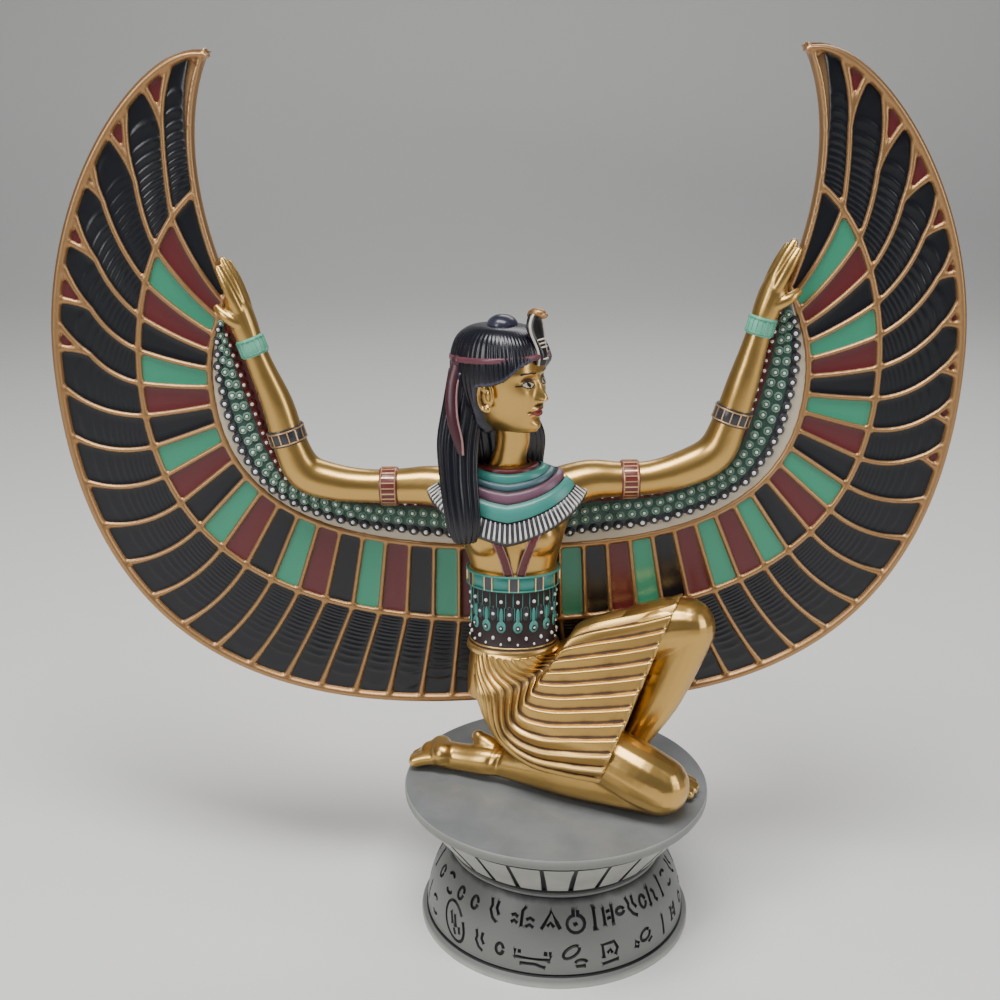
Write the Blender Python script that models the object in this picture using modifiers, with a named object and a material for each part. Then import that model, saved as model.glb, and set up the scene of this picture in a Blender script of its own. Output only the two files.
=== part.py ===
"""A kneeling goddess with spread wings, cast with her wings in one piece, on a round carved plinth."""
import bpy
import bmesh
import math
from mathutils import Matrix, Vector

# Driving sizes, in metres
PLINTH_HEIGHT = 0.0565
PLINTH_TOP_RADIUS = 0.0555
PLINTH_TOP_THICKNESS = 0.0045
PLINTH_NECK_RADIUS = 0.0385
PLINTH_NECK_HEIGHT = 0.031
PLINTH_NECK_BEAD = 0.002
PLINTH_BODY_RADIUS = 0.0478
PLINTH_FOOT_RADIUS = 0.0500
PLINTH_FOOT_HEIGHT = 0.0055
PLINTH_GROOVE_DEPTH = 0.0012
PLINTH_SIDES = 36
PLINTH_TOP_LIP = 0.0025
PANEL_COUNT = 28
PANEL_GROOVE_WIDTH = 0.0009
PANEL_SHARE = 0.74
STROKE_COUNT = 12
STROKE_ROWS = (0.3, 0.7)
STROKE_VARIATION = 0.3
STROKE_DEPTH = 0.0008
STROKE_WIDTH = 0.0013
STROKE_HEIGHT = 0.0048
SEAT_GAP = 0.0003
FIGURE_HEIGHT = 0.256
WING_THICKNESS = 0.005
WING_RIM_WIDTH = 0.0026
WALL_WIDTH = 0.0015
CELL_DEPTH = 0.001
BEAD_RISE = 0.001

# The figure is drawn on a grid of 256 steps from its seat on the plinth up to the wing tips.
# Her own right side is at -X. She faces -Y and looks towards +X.
GRID_STEPS = 256
STEP = FIGURE_HEIGHT / GRID_STEPS
# The body's shapes are fused into one skin whose cells are this many steps, then thinned to a share
FUSE_STEPS = 1.5
BODY_SHARE = 0.041
SEAT = PLINTH_HEIGHT + SEAT_GAP
WING_FRONT_Y = 18.0
WING_AXIS_X = -15.85
WING_ROLL = math.radians(0.6)
WING_ROOT_TOP = 106.0

# The wings' guide curves: across from the wing axis and up from the seat, as Bezier handles
OUTER_RIM = [(0, 22.5), (18, 22.5), (159, 0), (159, 151.5), (159, 212.5), (117, 262), (96.5, 255)]
FEATHER_LINE = [(0, 54.5), (84, 54.5), (129, 83), (129, 147), (129, 170), (122, 197), (104.5, 210.5)]
BEAD_WALL = [(0, 83), (60, 83), (104.5, 95), (104.5, 146), (104.5, 156), (102, 164), (95.5, 178)]
INNER_RIM = [(95.5, 178), (108, 212), (105, 240), (96.5, 255)]
# The width of the first feather and the last one, from the wing tip to the body, along each curve
OUTER_SPREAD = (20.5, 10.5)
FEATHER_SPREAD = (11.8, 9.0)
BEAD_SPREAD = (5.0, 8.4)
ROOT_SPREAD = (6.0, 8.0)
FEATHERS_RIGHT = 23
FEATHERS_LEFT = 24
# The raised beaded band, as shares of the way from the arm's middle to the bead wall
BEAD_BAND = (0.42, 0.86)
# The walls that fork before the rim, from the tip: width at the rim, and the share where the fork starts
FORKS_RIGHT = [(11.5, 0.62), (10.2, 0.56), (6.2, 0.76), (9.6, 0.64), (12.0, 0.62), (8.6, 0.62)]
FORKS_LEFT = [(10.4, 0.58), (12.0, 0.56), (13.6, 0.62), (10.4, 0.72), (8.4, 0.78), (8.2, 0.79), (8.2, 0.79),
              (8.2, 0.78), (8.8, 0.75)]
FEATHER_BOW = 0.10

# Rings of the body: x, y, z, half width, half depth
TORSO = [
    (-17, 9, 30, 15.5, 12), (-16.5, 9, 42, 15.5, 12), (-15.8, 8, 54, 14.6, 11), (-15.6, 8, 66, 14.3, 10.4),
    (-15.8, 8, 80, 15.2, 10.8), (-16.2, 8.2, 90, 18, 11.4), (-16.8, 9, 100, 21, 11.2),
    (-17.2, 10, 108, 20.5, 9), (-17.6, 9.6, 113.5, 13, 7.5), (-17.9, 8, 118, 6.8, 6.6),
    (-16, 6, 127, 6.1, 6.3), (-16.8, 4.5, 135, 6.4, 6.8),
]
# Limbs: x, y, z, radius
RIGHT_ARM = [
    (-32, 11, 106, 8), (-44, 13, 108, 7.2), (-56, 13.6, 107.7, 6.3), (-68, 13.8, 107.7, 6.1),
    (-80, 13.8, 109.2, 6.7), (-89.5, 13.8, 113.2, 6.9), (-94.3, 13.6, 124, 6.1), (-97.8, 13.4, 137.3, 5.6),
    (-102.6, 13.4, 150, 4.6), (-105.8, 13.4, 159, 4.1),
]
LEFT_ARM = [
    (-1, 11, 107, 8), (11, 13, 110.2, 7.2), (22, 13.6, 110.2, 6.3), (33, 13.8, 110.8, 6.1),
    (45, 13.8, 114.2, 6.7), (55, 13.8, 120, 6.9), (59.6, 13.6, 131, 6.1), (63.3, 13.4, 144.4, 5.6),
    (66.6, 13.4, 157, 4.6), (68.8, 13.4, 166, 4.1),
]
RIGHT_HAND = [
    (-105.6, 13.4, 158, 4), (-108.2, 13.6, 166, 4.6), (-110.4, 14.4, 174, 4.6), (-113.5, 15.6, 184, 2.6),
]
LEFT_HAND = [(68.6, 13.4, 165, 4), (71, 13.6, 172.5, 4.6), (73.4, 14.4, 180, 4.6), (78, 15.6, 189.5, 2.6)]
RIGHT_THUMB = [(-109, 11.4, 165, 1.9), (-112.6, 11, 168, 1.8), (-116.2, 12.6, 169.6, 1.5)]
LEFT_THUMB = [(72, 11.4, 171.5, 1.9), (75.8, 11, 174.4, 1.8), (79.6, 12.6, 176, 1.5)]
NEAR_THIGH = [
    (-18, 2, 28, 9), (0, -10, 23, 9.5), (17, -18.5, 18.5, 10.6), (28, -24, 14.2, 11), (35, -26, 11, 10.4),
]
NEAR_SHIN = [
    (34, -25.5, 9.6, 9.4), (20, -20, 9, 8.8), (5, -13, 8.2, 8.4), (-10, -6, 7.2, 6.6), (-21, -1, 6.6, 5.2),
]
NEAR_FOOT = [
    (-20, -1.5, 7, 5.6), (-27, 1, 7.6, 6.2), (-36, 5, 6, 5.4), (-44, 8.6, 4.8, 4.8), (-50, 11, 4, 3.6),
]
FAR_THIGH = [(-10, 8, 36, 9), (8, 7, 43, 9.5), (26, 4, 53, 10.8), (39, 1, 59, 10.8), (46, 0, 60, 10)]
FAR_SHIN = [(46.5, 0, 59, 9.6), (42, -1, 47, 9), (36, -2.5, 33, 8), (29, -4, 20, 6), (25, -4.5, 11, 5.2)]
FAR_FOOT = [(22, -4.5, 6, 5.4), (28, -5, 6, 5.4), (36, -6.5, 4.6, 5), (44, -8, 3.4, 4.6), (49, -9, 2.8, 3.2)]
BREASTS = [(-25.2, 2.4, 93.5, 7.8), (-7.4, 2.4, 93.5, 7.8)]

# The head turns towards her left. Its parts: ahead of the head's middle, to her left, up, and half sizes
HEAD_MIDDLE = (-19.2, 2, 149)
HEAD_TURN = math.radians(58)
HEAD_PARTS = [
    (2.5, 0, 1, 14, 11.4, 15.5), (7.5, 0, -6, 9, 9.2, 11), (12.3, 0, -13.2, 3.6, 4.2, 3.4),
    (16.2, 0, -2.6, 1.9, 1.3, 4.2), (18, 0, -5.6, 2.1, 2.2, 1.4), (15.2, 0, -10, 1.8, 3.4, 1.3),
    (14.4, 0, 3.4, 2.4, 7.6, 1.5), (12, -6, -4.8, 3.2, 3, 3), (12, 6, -4.8, 3.2, 3, 3),
    (1.6, -11.6, -4.6, 2.6, 1.5, 4), (1.6, 11.6, -4.6, 2.6, 1.5, 4),
]
WIG_SHIFT = -3.4
WIG_SIZES = (16, 14.6, 18.6)
WIG_FLUTES = 16
WIG_FLUTE_DEPTH = 0.35
BACK_HAIR = [
    (-24.6, 7, 154, 11, 9), (-25.2, 9, 140, 14.2, 8.2), (-23.2, 11.5, 128, 17.6, 7),
    (-22, 13.5, 116, 16.5, 6), (-19, 15, 104, 14, 5),
]
FRONT_LOCK = [
    (-32.6, 1, 141, 6.6, 6), (-34.6, -1.5, 129, 6.8, 5.4), (-34.6, -4.5, 118, 6.2, 4.4),
    (-33.6, -7, 107, 6, 4), (-32.8, -7.8, 99, 5.4, 3.8), (-32.4, -7.2, 94, 4, 2.8),
]
CROWN_KNOB = (-19.7, 2.4, 168, 5.2, 3.2)
HEADBAND_HEIGHT = 8.6
HEADBAND_TILT = math.radians(9)
HEADBAND_SIDES = 26
RIBBON = [(-34.4, -1.6, 155.5, 2), (-36.6, -4.2, 147, 1.9), (-36.6, -6.6, 138, 1.9), (-34.8, -7.8, 130, 1.7)]
URAEUS = [
    (-7.8, -5.2, 156, 2.8), (-8, -5, 161, 3.2), (-9, -4.4, 167, 3.8), (-9, -4.4, 171, 3),
    (-7.6, -5, 172.6, 1.7),
]

# Dress
COLLAR_NECK = (-17.9, 8, 117.2, 8, 7.6)
COLLAR_EDGE = (-18, 9, 104, 28.4, 18)
COLLAR_DROP = 11.2
COLLAR_SHOULDER_RISE = 5.4
COLLAR_BANDS = 4
COLLAR_SIDES = 28
BELT_RINGS = [
    (49.2, 16.2, 12.8), (51.6, 16.6, 13.2), (52.6, 15.8, 12.4), (73.6, 15.2, 11.4), (74.4, 15.9, 12.1),
    (80.4, 16.3, 12.3), (81.2, 15.4, 11.2),
]
BELT_CENTRE = (-15.7, 8)
BELT_SIDES = 26
STRAPS = [[(-21.4, -6, 93, 1.4), (-19, -4.8, 86, 1.4), (-17.4, -3.2, 80, 1.4)],
          [(-9.4, -6, 93, 1.4), (-11.8, -4.8, 86, 1.4), (-13.4, -3.2, 80, 1.4)]]
# Where each armband sits along its arm, in stations, with its length and how far it stands proud
ARMBANDS = [(2.3, 6.4, 0.7), (6.2, 5.8, 0.8), (8.8, 6.4, 0.7)]
ARMBAND_SIDES = 12
# Kilt rings: waist side lobe and thigh side lobe (x, y, z, radius each), from the belt to the hem
KILT = [
    ((-15.7, 5.5, 50.5, 13.2), (-15.7, 8, 50.5, 13.2)),
    ((-15.6, 4, 40, 15), (-12, 6.6, 43, 14)),
    ((-11.5, 0, 29.5, 16.4), (-3, 5.6, 43, 15)),
    ((-3.5, -6, 23.6, 15.6), (8.5, 5.2, 47.4, 14.2)),
    ((8.2, -12.8, 21.2, 14.2), (25, 3.8, 53.4, 13.2)),
    ((19.6, -18.6, 20.2, 12.9), (40, 1.4, 59, 12.5)),
]
KILT_TURN = [(0, 0, -1), (0.42, -0.12, -0.9), (0.75, -0.22, -0.45), (0.88, -0.28, -0.32), (0.9, -0.3, -0.33),
             (0.9, -0.3, -0.31)]
# How far round the pleats have travelled at each of the kilt's sections, as a share of the way round
KILT_TWIST = [0, 0.24, 0.185, 0.15, 0.13, 0.12]
KILT_RINGS_A_ROW = 2
PLEATS = 22
PLEAT_DEPTH = 0.9


def clear_scene():
    for thing in list(bpy.data.objects):
        bpy.data.objects.remove(thing, do_unlink=True)


def new_collection(name):
    group = bpy.data.collections.new(name)
    bpy.context.scene.collection.children.link(group)
    return group


def new_material(name, colour, roughness, metallic):
    material = bpy.data.materials.new(name)
    material.use_nodes = True
    shader = material.node_tree.nodes["Principled BSDF"]
    shader.inputs["Base Color"].default_value = (*colour, 1)
    shader.inputs["Roughness"].default_value = roughness
    shader.inputs["Metallic"].default_value = metallic
    return material


def new_object(name, mesh_builder, group):
    mesh = bpy.data.meshes.new(name)
    bmesh.ops.recalc_face_normals(mesh_builder, faces=mesh_builder.faces)
    mesh_builder.to_mesh(mesh)
    mesh_builder.free()
    thing = bpy.data.objects.new(name, mesh)
    group.objects.link(thing)
    return thing


def at(x, y, z):
    """A point of the figure's grid, in metres above the plinth's underside."""
    return Vector((x * STEP, y * STEP, z * STEP + SEAT))


def add_loft(builder, rings):
    """A closed skin over rings of equal point counts, with both ends filled."""
    loops = [[builder.verts.new(point) for point in ring] for ring in rings]
    for low, high in zip(loops, loops[1:]):
        for i, corner in enumerate(low):
            j = (i + 1) % len(low)
            builder.faces.new((corner, low[j], high[j], high[i]))
    builder.faces.new(loops[0])
    builder.faces.new(loops[-1])


def smooth_row(row, t):
    """A value row on the Catmull-Rom curve through the given rows."""
    last = len(row) - 1
    i = min(int(t), last - 1)
    f = t - i
    a, b, c, d = (row[min(max(k, 0), last)] for k in (i - 1, i, i + 1, i + 2))
    return [
        0.5 * (2 * q + (r - p) * f + (2 * p - 5 * q + 4 * r - s) * f * f + (3 * q - p - 3 * r + s) * f ** 3)
        for p, q, r, s in zip(a, b, c, d)
    ]


def resample(stations, parts):
    last = (len(stations) - 1) * parts
    return [smooth_row(stations, i / parts) for i in range(last + 1)]


def level_rings(stations, sides, parts=2):
    """Level ellipses for the torso and the hair."""
    rings = []
    for x, y, z, wide, deep in resample(stations, parts):
        turns = [2 * math.pi * k / sides for k in range(sides)]
        rings.append([at(x + wide * math.cos(a), y + deep * math.sin(a), z) for a in turns])
    return rings


def limb_rings(stations, sides, parts=2):
    """Round rings square to a limb's own path."""
    rows = resample(stations, parts)
    centres = [at(*row[:3]) for row in rows]
    rings = []
    side = None
    for i, row in enumerate(rows):
        ahead = (centres[min(i + 1, len(rows) - 1)] - centres[max(i - 1, 0)]).normalized()
        if side is None:
            side = ahead.cross(Vector((0, 1, 0))).normalized()
        side = (side - ahead * side.dot(ahead)).normalized()
        up = ahead.cross(side)
        radius = row[3] * STEP
        turns = [2 * math.pi * k / sides for k in range(sides)]
        rings.append([centres[i] + side * radius * math.cos(a) + up * radius * math.sin(a) for a in turns])
    return rings


def add_limb(builder, stations, sides=12):
    """A tube along the stations with a ball at each end, so that neighbours run into each other."""
    add_loft(builder, limb_rings(stations, sides))
    for x, y, z, radius in (stations[0], stations[-1]):
        add_ball(builder, (x, y, z), (radius, radius, radius), 0)


def add_ball(builder, centre, sizes, turn, segments=12):
    """An ellipsoid whose first size lies along the direction that the head faces."""
    place = Matrix.Translation(at(*centre)) @ Matrix.Rotation(turn - math.pi / 2, 4, "Z")
    place = place @ Matrix.Diagonal((*(size * STEP for size in sizes), 1))
    levels = segments // 2 + 2
    bmesh.ops.create_uvsphere(builder, u_segments=segments, v_segments=levels, radius=1, matrix=place)


def in_head(ahead, left, up):
    """A place given from the head's middle, on the figure's grid."""
    x, y, z = HEAD_MIDDLE
    face = (math.sin(HEAD_TURN), -math.cos(HEAD_TURN))
    side = (math.cos(HEAD_TURN), math.sin(HEAD_TURN))
    return (x + face[0] * ahead + side[0] * left, y + face[1] * ahead + side[1] * left, z + up)


def bezier(handles, t):
    """A point on a chain of cubic Bezier pieces, for t from 0 to 1."""
    pieces = (len(handles) - 1) // 3
    i = min(int(t * pieces), pieces - 1)
    f = t * pieces - i
    weights = ((1 - f) ** 3, 3 * (1 - f) ** 2 * f, 3 * (1 - f) * f * f, f ** 3)
    return Vector([sum(w * handles[3 * i + k][axis] for k, w in enumerate(weights)) for axis in (0, 1)])


def along(handles, shares):
    """Points at the given shares of a curve's length, from its last handle back to its first."""
    samples = [bezier(handles, 1 - k / 200) for k in range(201)]
    run = [0.0]
    for a, b in zip(samples, samples[1:]):
        run.append(run[-1] + (b - a).length)
    found = []
    for share in shares:
        reach = min(max(share, 0), 1) * run[-1]
        k = max(next((i for i, length in enumerate(run) if length >= reach), 200), 1)
        f = (reach - run[k - 1]) / (run[k] - run[k - 1])
        found.append(samples[k - 1].lerp(samples[k], f))
    return found


def spread(widths, count):
    """Shares of a length, for feathers whose widths change evenly from the first to the last."""
    first, last = widths
    sizes = [first + (last - first) * i / (count - 1) for i in range(count)]
    total = sum(sizes)
    return [sum(sizes[:i]) / total for i in range(count + 1)]


def bowed(start, end, bow, parts):
    """The inner points of a wall that bows sideways by a share of its length."""
    middle = (start + end) / 2 + Vector(((end - start).y, -(end - start).x)) * bow * 2
    points = []
    for k in range(1, parts):
        t = k / parts
        points.append(start * (1 - t) ** 2 + middle * 2 * t * (1 - t) + end * t * t)
    return points


def arm_line(arm, hand, side):
    """The wing's edge under the arm, from the hand to the wing axis, in the wing's own plane."""
    line = []
    for x, y, z, radius in reversed(arm + hand[1:3]):
        across = (x - WING_AXIS_X) * side
        line.append(Vector((across, z - side * across * math.sin(WING_ROLL))))
    line.append(Vector((0, WING_ROOT_TOP)))
    return line


def share_line(line, shares):
    """Points at shares of a line's length."""
    run = [0.0]
    for a, b in zip(line, line[1:]):
        run.append(run[-1] + (b - a).length)
    found = []
    for share in shares:
        reach = share * run[-1]
        k = max(next((i for i, length in enumerate(run) if length >= reach - 1e-9), len(run) - 1), 1)
        found.append(line[k - 1].lerp(line[k], (reach - run[k - 1]) / (run[k] - run[k - 1])))
    return found


class WingSheet:
    """The front of one wing: a net of feather cells between its guide curves."""

    def __init__(self, builder, side, feathers, forks, arm, hand):
        self.builder = builder
        self.side = side
        self.feathers = feathers
        self.forks = forks
        self.known = {}
        self.rim = WING_RIM_WIDTH / STEP
        self.outer_shares = spread(OUTER_SPREAD, feathers)
        self.outer = along(OUTER_RIM, self.outer_shares)
        self.rim_length = sum((b - a).length for a, b in zip(self.outer, self.outer[1:]))
        self.line = along(FEATHER_LINE, spread(FEATHER_SPREAD, feathers))
        self.bead = along(BEAD_WALL, spread(BEAD_SPREAD, feathers))
        self.root = share_line(arm_line(arm, hand, side), spread(ROOT_SPREAD, feathers))
        self.cells = []
        self.frame = []

    def corner(self, point, back=0.0):
        """One vertex of the net; points that meet share it."""
        key = (round(point.x, 2), round(point.y, 2))
        if key not in self.known:
            turn = WING_ROLL
            across = self.side * point.x
            x = WING_AXIS_X + across * math.cos(turn) - point.y * math.sin(turn)
            z = point.y * math.cos(turn) + across * math.sin(turn)
            self.known[key] = self.builder.verts.new(at(x, WING_FRONT_Y + back, z))
        return self.known[key]

    def face(self, points, kind):
        corners = []
        for point in points:
            corner = self.corner(point)
            if corner not in corners:
                corners.append(corner)
        kind.append(self.builder.faces.new(corners))

    def inside_rim(self, share):
        """The point at a share of the outer rim, moved in by the rim's width."""
        before, here, after = along(OUTER_RIM, (share - 0.004, share, share + 0.004))
        run = (after - before).normalized()
        return here + Vector((run.y, -run.x)) * self.rim

    def walls(self):
        """Each wall past the feather line: its points, and the two ends where it forks."""
        found = []
        for i in range(1, self.feathers):
            start = self.line[i]
            share = self.outer_shares[i]
            bow = FEATHER_BOW * max(0.0, math.sin(math.pi * min(1.0, i / (self.feathers * 0.72))))
            if i <= len(self.forks):
                width, fork_start = self.forks[i - 1]
                half_share = width / 2 / self.rim_length
                low = self.inside_rim(share + half_share)
                high = self.inside_rim(share - half_share)
                split = start.lerp((low + high) / 2, fork_start)
                found.append((start, bowed(start, split, bow, 2) + [split], high, low))
            else:
                end = self.inside_rim(share)
                found.append((start, bowed(start, end, bow, 3), end, end))
        return found

    def build(self):
        outer_in = [self.inside_rim(share) for share in self.outer_shares]
        outer_in[-1] = self.outer[-1] + Vector((0, self.rim))
        inner = [bezier(INNER_RIM, k / 4) for k in range(5)]
        tip = self.outer[0]
        tip_in = tip + (Vector((110, 225)) - tip).normalized() * self.rim * 2.2
        edge_in = [inner[k] + Vector((self.rim, 0)) for k in (1, 2, 3)]
        line_in = self.line[0] + Vector((self.rim, 0.8))
        bead_in = self.bead[0] + Vector((self.rim, 1.0))
        walls = self.walls()
        # Primaries: from the tip to the body
        first = walls[0]
        crest = self.inside_rim(self.outer_shares[1] * 0.45)
        self.face([line_in, first[0], *first[1], first[2], crest, tip_in, edge_in[2], edge_in[1]], self.cells)
        for i in range(1, self.feathers):
            here = walls[i - 1]
            after = walls[i] if i < self.feathers - 1 else (self.line[-1], [], outer_in[-1], outer_in[-1])
            rim_points = [here[3], after[2]]
            if i <= len(self.forks):
                middle = self.inside_rim((self.outer_shares[i] + self.outer_shares[i + 1]) / 2)
                rim_points = [here[3], middle, after[2]]
            points = [here[0], *here[1], *rim_points, *reversed(after[1]), after[0]]
            self.face(points, self.cells)
            if i <= len(self.forks):
                self.face([here[1][-1], here[2], here[3]], self.cells)
        # Coverts
        for i in range(self.feathers):
            upper = (bead_in, line_in) if i == 0 else (self.bead[i], self.line[i])
            bow = 0.05 * max(0.0, 1 - i / 9)
            low_bow = 0.05 * max(0.0, 1 - (i + 1) / 9)
            near = [] if i == 0 else bowed(upper[0], upper[1], bow, 2)
            far = bowed(self.bead[i + 1], self.line[i + 1], low_bow, 2)
            beyond = [self.line[i + 1], *reversed(far), self.bead[i + 1]]
            self.face([upper[0], *near, upper[1], *beyond], self.cells)
        # Rims
        bend, low_bend = along(OUTER_RIM, (self.outer_shares[1] * 0.33, self.outer_shares[1] * 0.7))
        self.face([tip, tip_in, crest, first[2], self.outer[1], low_bend, bend], self.frame)
        self.face([tip, inner[3], edge_in[2], tip_in], self.frame)
        self.face([inner[3], inner[2], edge_in[1], edge_in[2]], self.frame)
        self.face([inner[2], inner[1], line_in, edge_in[1]], self.frame)
        self.face([inner[1], self.bead[0], bead_in, line_in], self.frame)
        self.face([self.bead[0], self.bead[1], bead_in], self.frame)
        for i in range(1, self.feathers):
            here = walls[i - 1]
            after = walls[i] if i < self.feathers - 1 else (0, 0, outer_in[-1], 0)
            points = [self.outer[i], here[2]]
            beyond = [self.outer[i + 1]]
            if i <= len(self.forks):
                half_way = (self.outer_shares[i] + self.outer_shares[i + 1]) / 2
                points = [self.outer[i], here[2], here[3], self.inside_rim(half_way)]
                beyond += along(OUTER_RIM, [half_way])
            self.face([*points, after[2], *beyond], self.frame)
        # The beaded band between the bead wall and the arm, a low round ridge
        low = [a.lerp(b, BEAD_BAND[0]) for a, b in zip(self.root, self.bead)]
        high = [a.lerp(b, BEAD_BAND[1]) for a, b in zip(self.root, self.bead)]
        for near, far in ((self.root, low), (low, high), (high, self.bead)):
            for i in range(self.feathers):
                self.face([near[i], far[i], far[i + 1], near[i + 1]], self.frame)
        for point in low[1:-1] + high[1:-1]:
            self.corner(point).co.y -= BEAD_RISE


def wing_plate(builder):
    """Both wings as one closed plate with sunk feather cells in front."""
    sheets = [
        WingSheet(builder, -1, FEATHERS_RIGHT, FORKS_RIGHT, RIGHT_ARM, RIGHT_HAND),
        WingSheet(builder, 1, FEATHERS_LEFT, FORKS_LEFT, LEFT_ARM, LEFT_HAND),
    ]
    for sheet in sheets:
        sheet.build()
    cells = [face for sheet in sheets for face in sheet.cells]
    bmesh.ops.remove_doubles(builder, verts=builder.verts, dist=0.00002)
    bmesh.ops.recalc_face_normals(builder, faces=builder.faces)
    if builder.faces[0].normal.y > 0:
        bmesh.ops.reverse_faces(builder, faces=builder.faces)
    edges = [edge for edge in builder.edges if edge.is_boundary]
    grown = bmesh.ops.extrude_edge_only(builder, edges=edges)["geom"]
    back = [item for item in grown if isinstance(item, bmesh.types.BMVert)]
    bmesh.ops.translate(builder, verts=back, vec=(0, WING_THICKNESS, 0))
    rim_edges = [item for item in grown if isinstance(item, bmesh.types.BMEdge) and item.is_boundary]
    bmesh.ops.contextual_create(builder, geom=rim_edges)
    cells = [face for face in cells if face.is_valid]
    bmesh.ops.inset_individual(
        builder, faces=cells, thickness=WALL_WIDTH / 2, depth=-CELL_DEPTH, use_even_offset=True
    )


def add_body(builder):
    """Torso, limbs and head, as overlapping closed shapes that are later fused."""
    add_loft(builder, level_rings(TORSO, 20))
    limbs = [RIGHT_ARM, LEFT_ARM, RIGHT_HAND, LEFT_HAND, RIGHT_THUMB, LEFT_THUMB, NEAR_THIGH, NEAR_SHIN,
             NEAR_FOOT, FAR_THIGH, FAR_SHIN, FAR_FOOT]
    for limb in limbs:
        add_limb(builder, limb)
    for x, y, z, radius in BREASTS:
        add_ball(builder, (x, y, z), (radius, radius, radius), 0)
    for ahead, left, up, *sizes in HEAD_PARTS:
        add_ball(builder, in_head(ahead, left, up), sizes, HEAD_TURN)
    x, y, z, wide, high = CROWN_KNOB
    add_ball(builder, (x, y, z), (wide, wide, high), HEAD_TURN)


def fused_mesh(thing, voxel, share):
    """The object's overlapping shapes fused by a voxel remesh, smoothed and thinned, as a new mesh."""
    remesh = thing.modifiers.new("Fuse", "REMESH")
    remesh.mode = "VOXEL"
    remesh.voxel_size = voxel
    smooth = thing.modifiers.new("Soften", "SMOOTH")
    smooth.factor = 0.5
    smooth.iterations = 4
    thin = thing.modifiers.new("Thin", "DECIMATE")
    thin.ratio = share
    bpy.context.view_layer.update()
    seen = thing.evaluated_get(bpy.context.evaluated_depsgraph_get())
    mesh = bpy.data.meshes.new_from_object(seen)
    thing.modifiers.clear()
    thing.data = mesh
    return thing


def wig_rings():
    """The skull cap of hair with combed flutes running from the crown to the rim."""
    long, wide, high = WIG_SIZES
    rings = []
    sides = WIG_FLUTES * 2
    for k in range(1, 10):
        polar = math.pi * k / 11
        ring = []
        for j in range(sides):
            a = 2 * math.pi * j / sides
            grow = 1 + (WIG_FLUTE_DEPTH / wide) * (1 if j % 2 else -1)
            radius = math.sin(polar) * grow
            x, y = long * radius * math.cos(a), wide * radius * math.sin(a)
            place = in_head(WIG_SHIFT + x, y, high * math.cos(polar))
            ring.append(at(*place))
        rings.append(ring)
    return rings


def headband_rings():
    """A narrow band round the wig, lower at the back, and its inner side sunk in the hair."""
    long, wide, high = WIG_SIZES
    rings = []
    for lift, proud in ((-1.6, -2.0), (-1.6, 0.5), (1.2, 0.5), (1.2, -2.0)):
        ring = []
        for j in range(HEADBAND_SIDES):
            a = 2 * math.pi * j / HEADBAND_SIDES
            level = HEADBAND_HEIGHT + lift
            reach = math.sqrt(1 - (level / high) ** 2)
            x = (long * reach + proud) * math.cos(a)
            y = (wide * reach + proud) * math.sin(a)
            up = level + math.tan(HEADBAND_TILT) * x
            ring.append(at(*in_head(WIG_SHIFT + x, y, up)))
        rings.append(ring)
    return rings


def collar_rings():
    """The broad collar from the neck over the chest and shoulders, in bands parted by grooves."""
    neck, edge = COLLAR_NECK, COLLAR_EDGE
    levels = [(0.0, -3.0)]
    for band in range(COLLAR_BANDS):
        levels.append((band / COLLAR_BANDS, 0.2))
        levels.append(((band + 0.86) / COLLAR_BANDS, 0.75))
    levels.append((1.0, 0.1))
    levels.append((1.0, -3.0))
    rings = []
    for share, proud in levels:
        ring = []
        for j in range(COLLAR_SIDES):
            a = 2 * math.pi * j / COLLAR_SIDES
            front = max(0.0, -math.sin(a))
            wide = neck[3] + (edge[3] - neck[3]) * share
            deep = neck[4] + (edge[4] - neck[4]) * share ** 0.9
            x = neck[0] + (edge[0] - neck[0]) * share + wide * math.cos(a)
            y = neck[1] + (edge[1] - neck[1]) * share + (deep * (0.92 if front else 0.62)) * math.sin(a)
            fall = share ** 1.5
            z = neck[2] + (edge[2] - neck[2]) * fall
            z += (COLLAR_SHOULDER_RISE * abs(math.cos(a)) - COLLAR_DROP * front ** 1.4) * fall + proud
            ring.append(at(x, y - proud * 0.6 * front, z))
        rings.append(ring)
    return rings


def belt_rings():
    rings = []
    for z, wide, deep in BELT_RINGS:
        turns = [2 * math.pi * k / BELT_SIDES for k in range(BELT_SIDES)]
        x, y = BELT_CENTRE
        rings.append([at(x + wide * math.cos(a), y + deep * math.sin(a), z) for a in turns])
    return rings


def armband_rings(arm, station, length, proud):
    """A raised band square to the arm at a place along its stations."""
    x, y, z, radius = smooth_row(arm, station)
    before = Vector(smooth_row(arm, station - 0.2)[:3])
    after = Vector(smooth_row(arm, station + 0.2)[:3])
    ahead = (after - before).normalized()
    side = ahead.cross(Vector((0, 1, 0))).normalized()
    up = ahead.cross(side)
    rings = []
    for shift, grow in ((-length / 2, -1.5), (-length / 2, proud), (length / 2, proud), (length / 2, -1.5)):
        ring = []
        for k in range(ARMBAND_SIDES):
            a = 2 * math.pi * k / ARMBAND_SIDES
            out = (side * math.cos(a) + up * math.sin(a)) * (radius + grow)
            place = Vector((x, y, z)) + ahead * shift + out
            ring.append(at(*place))
        rings.append(ring)
    return rings


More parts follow.
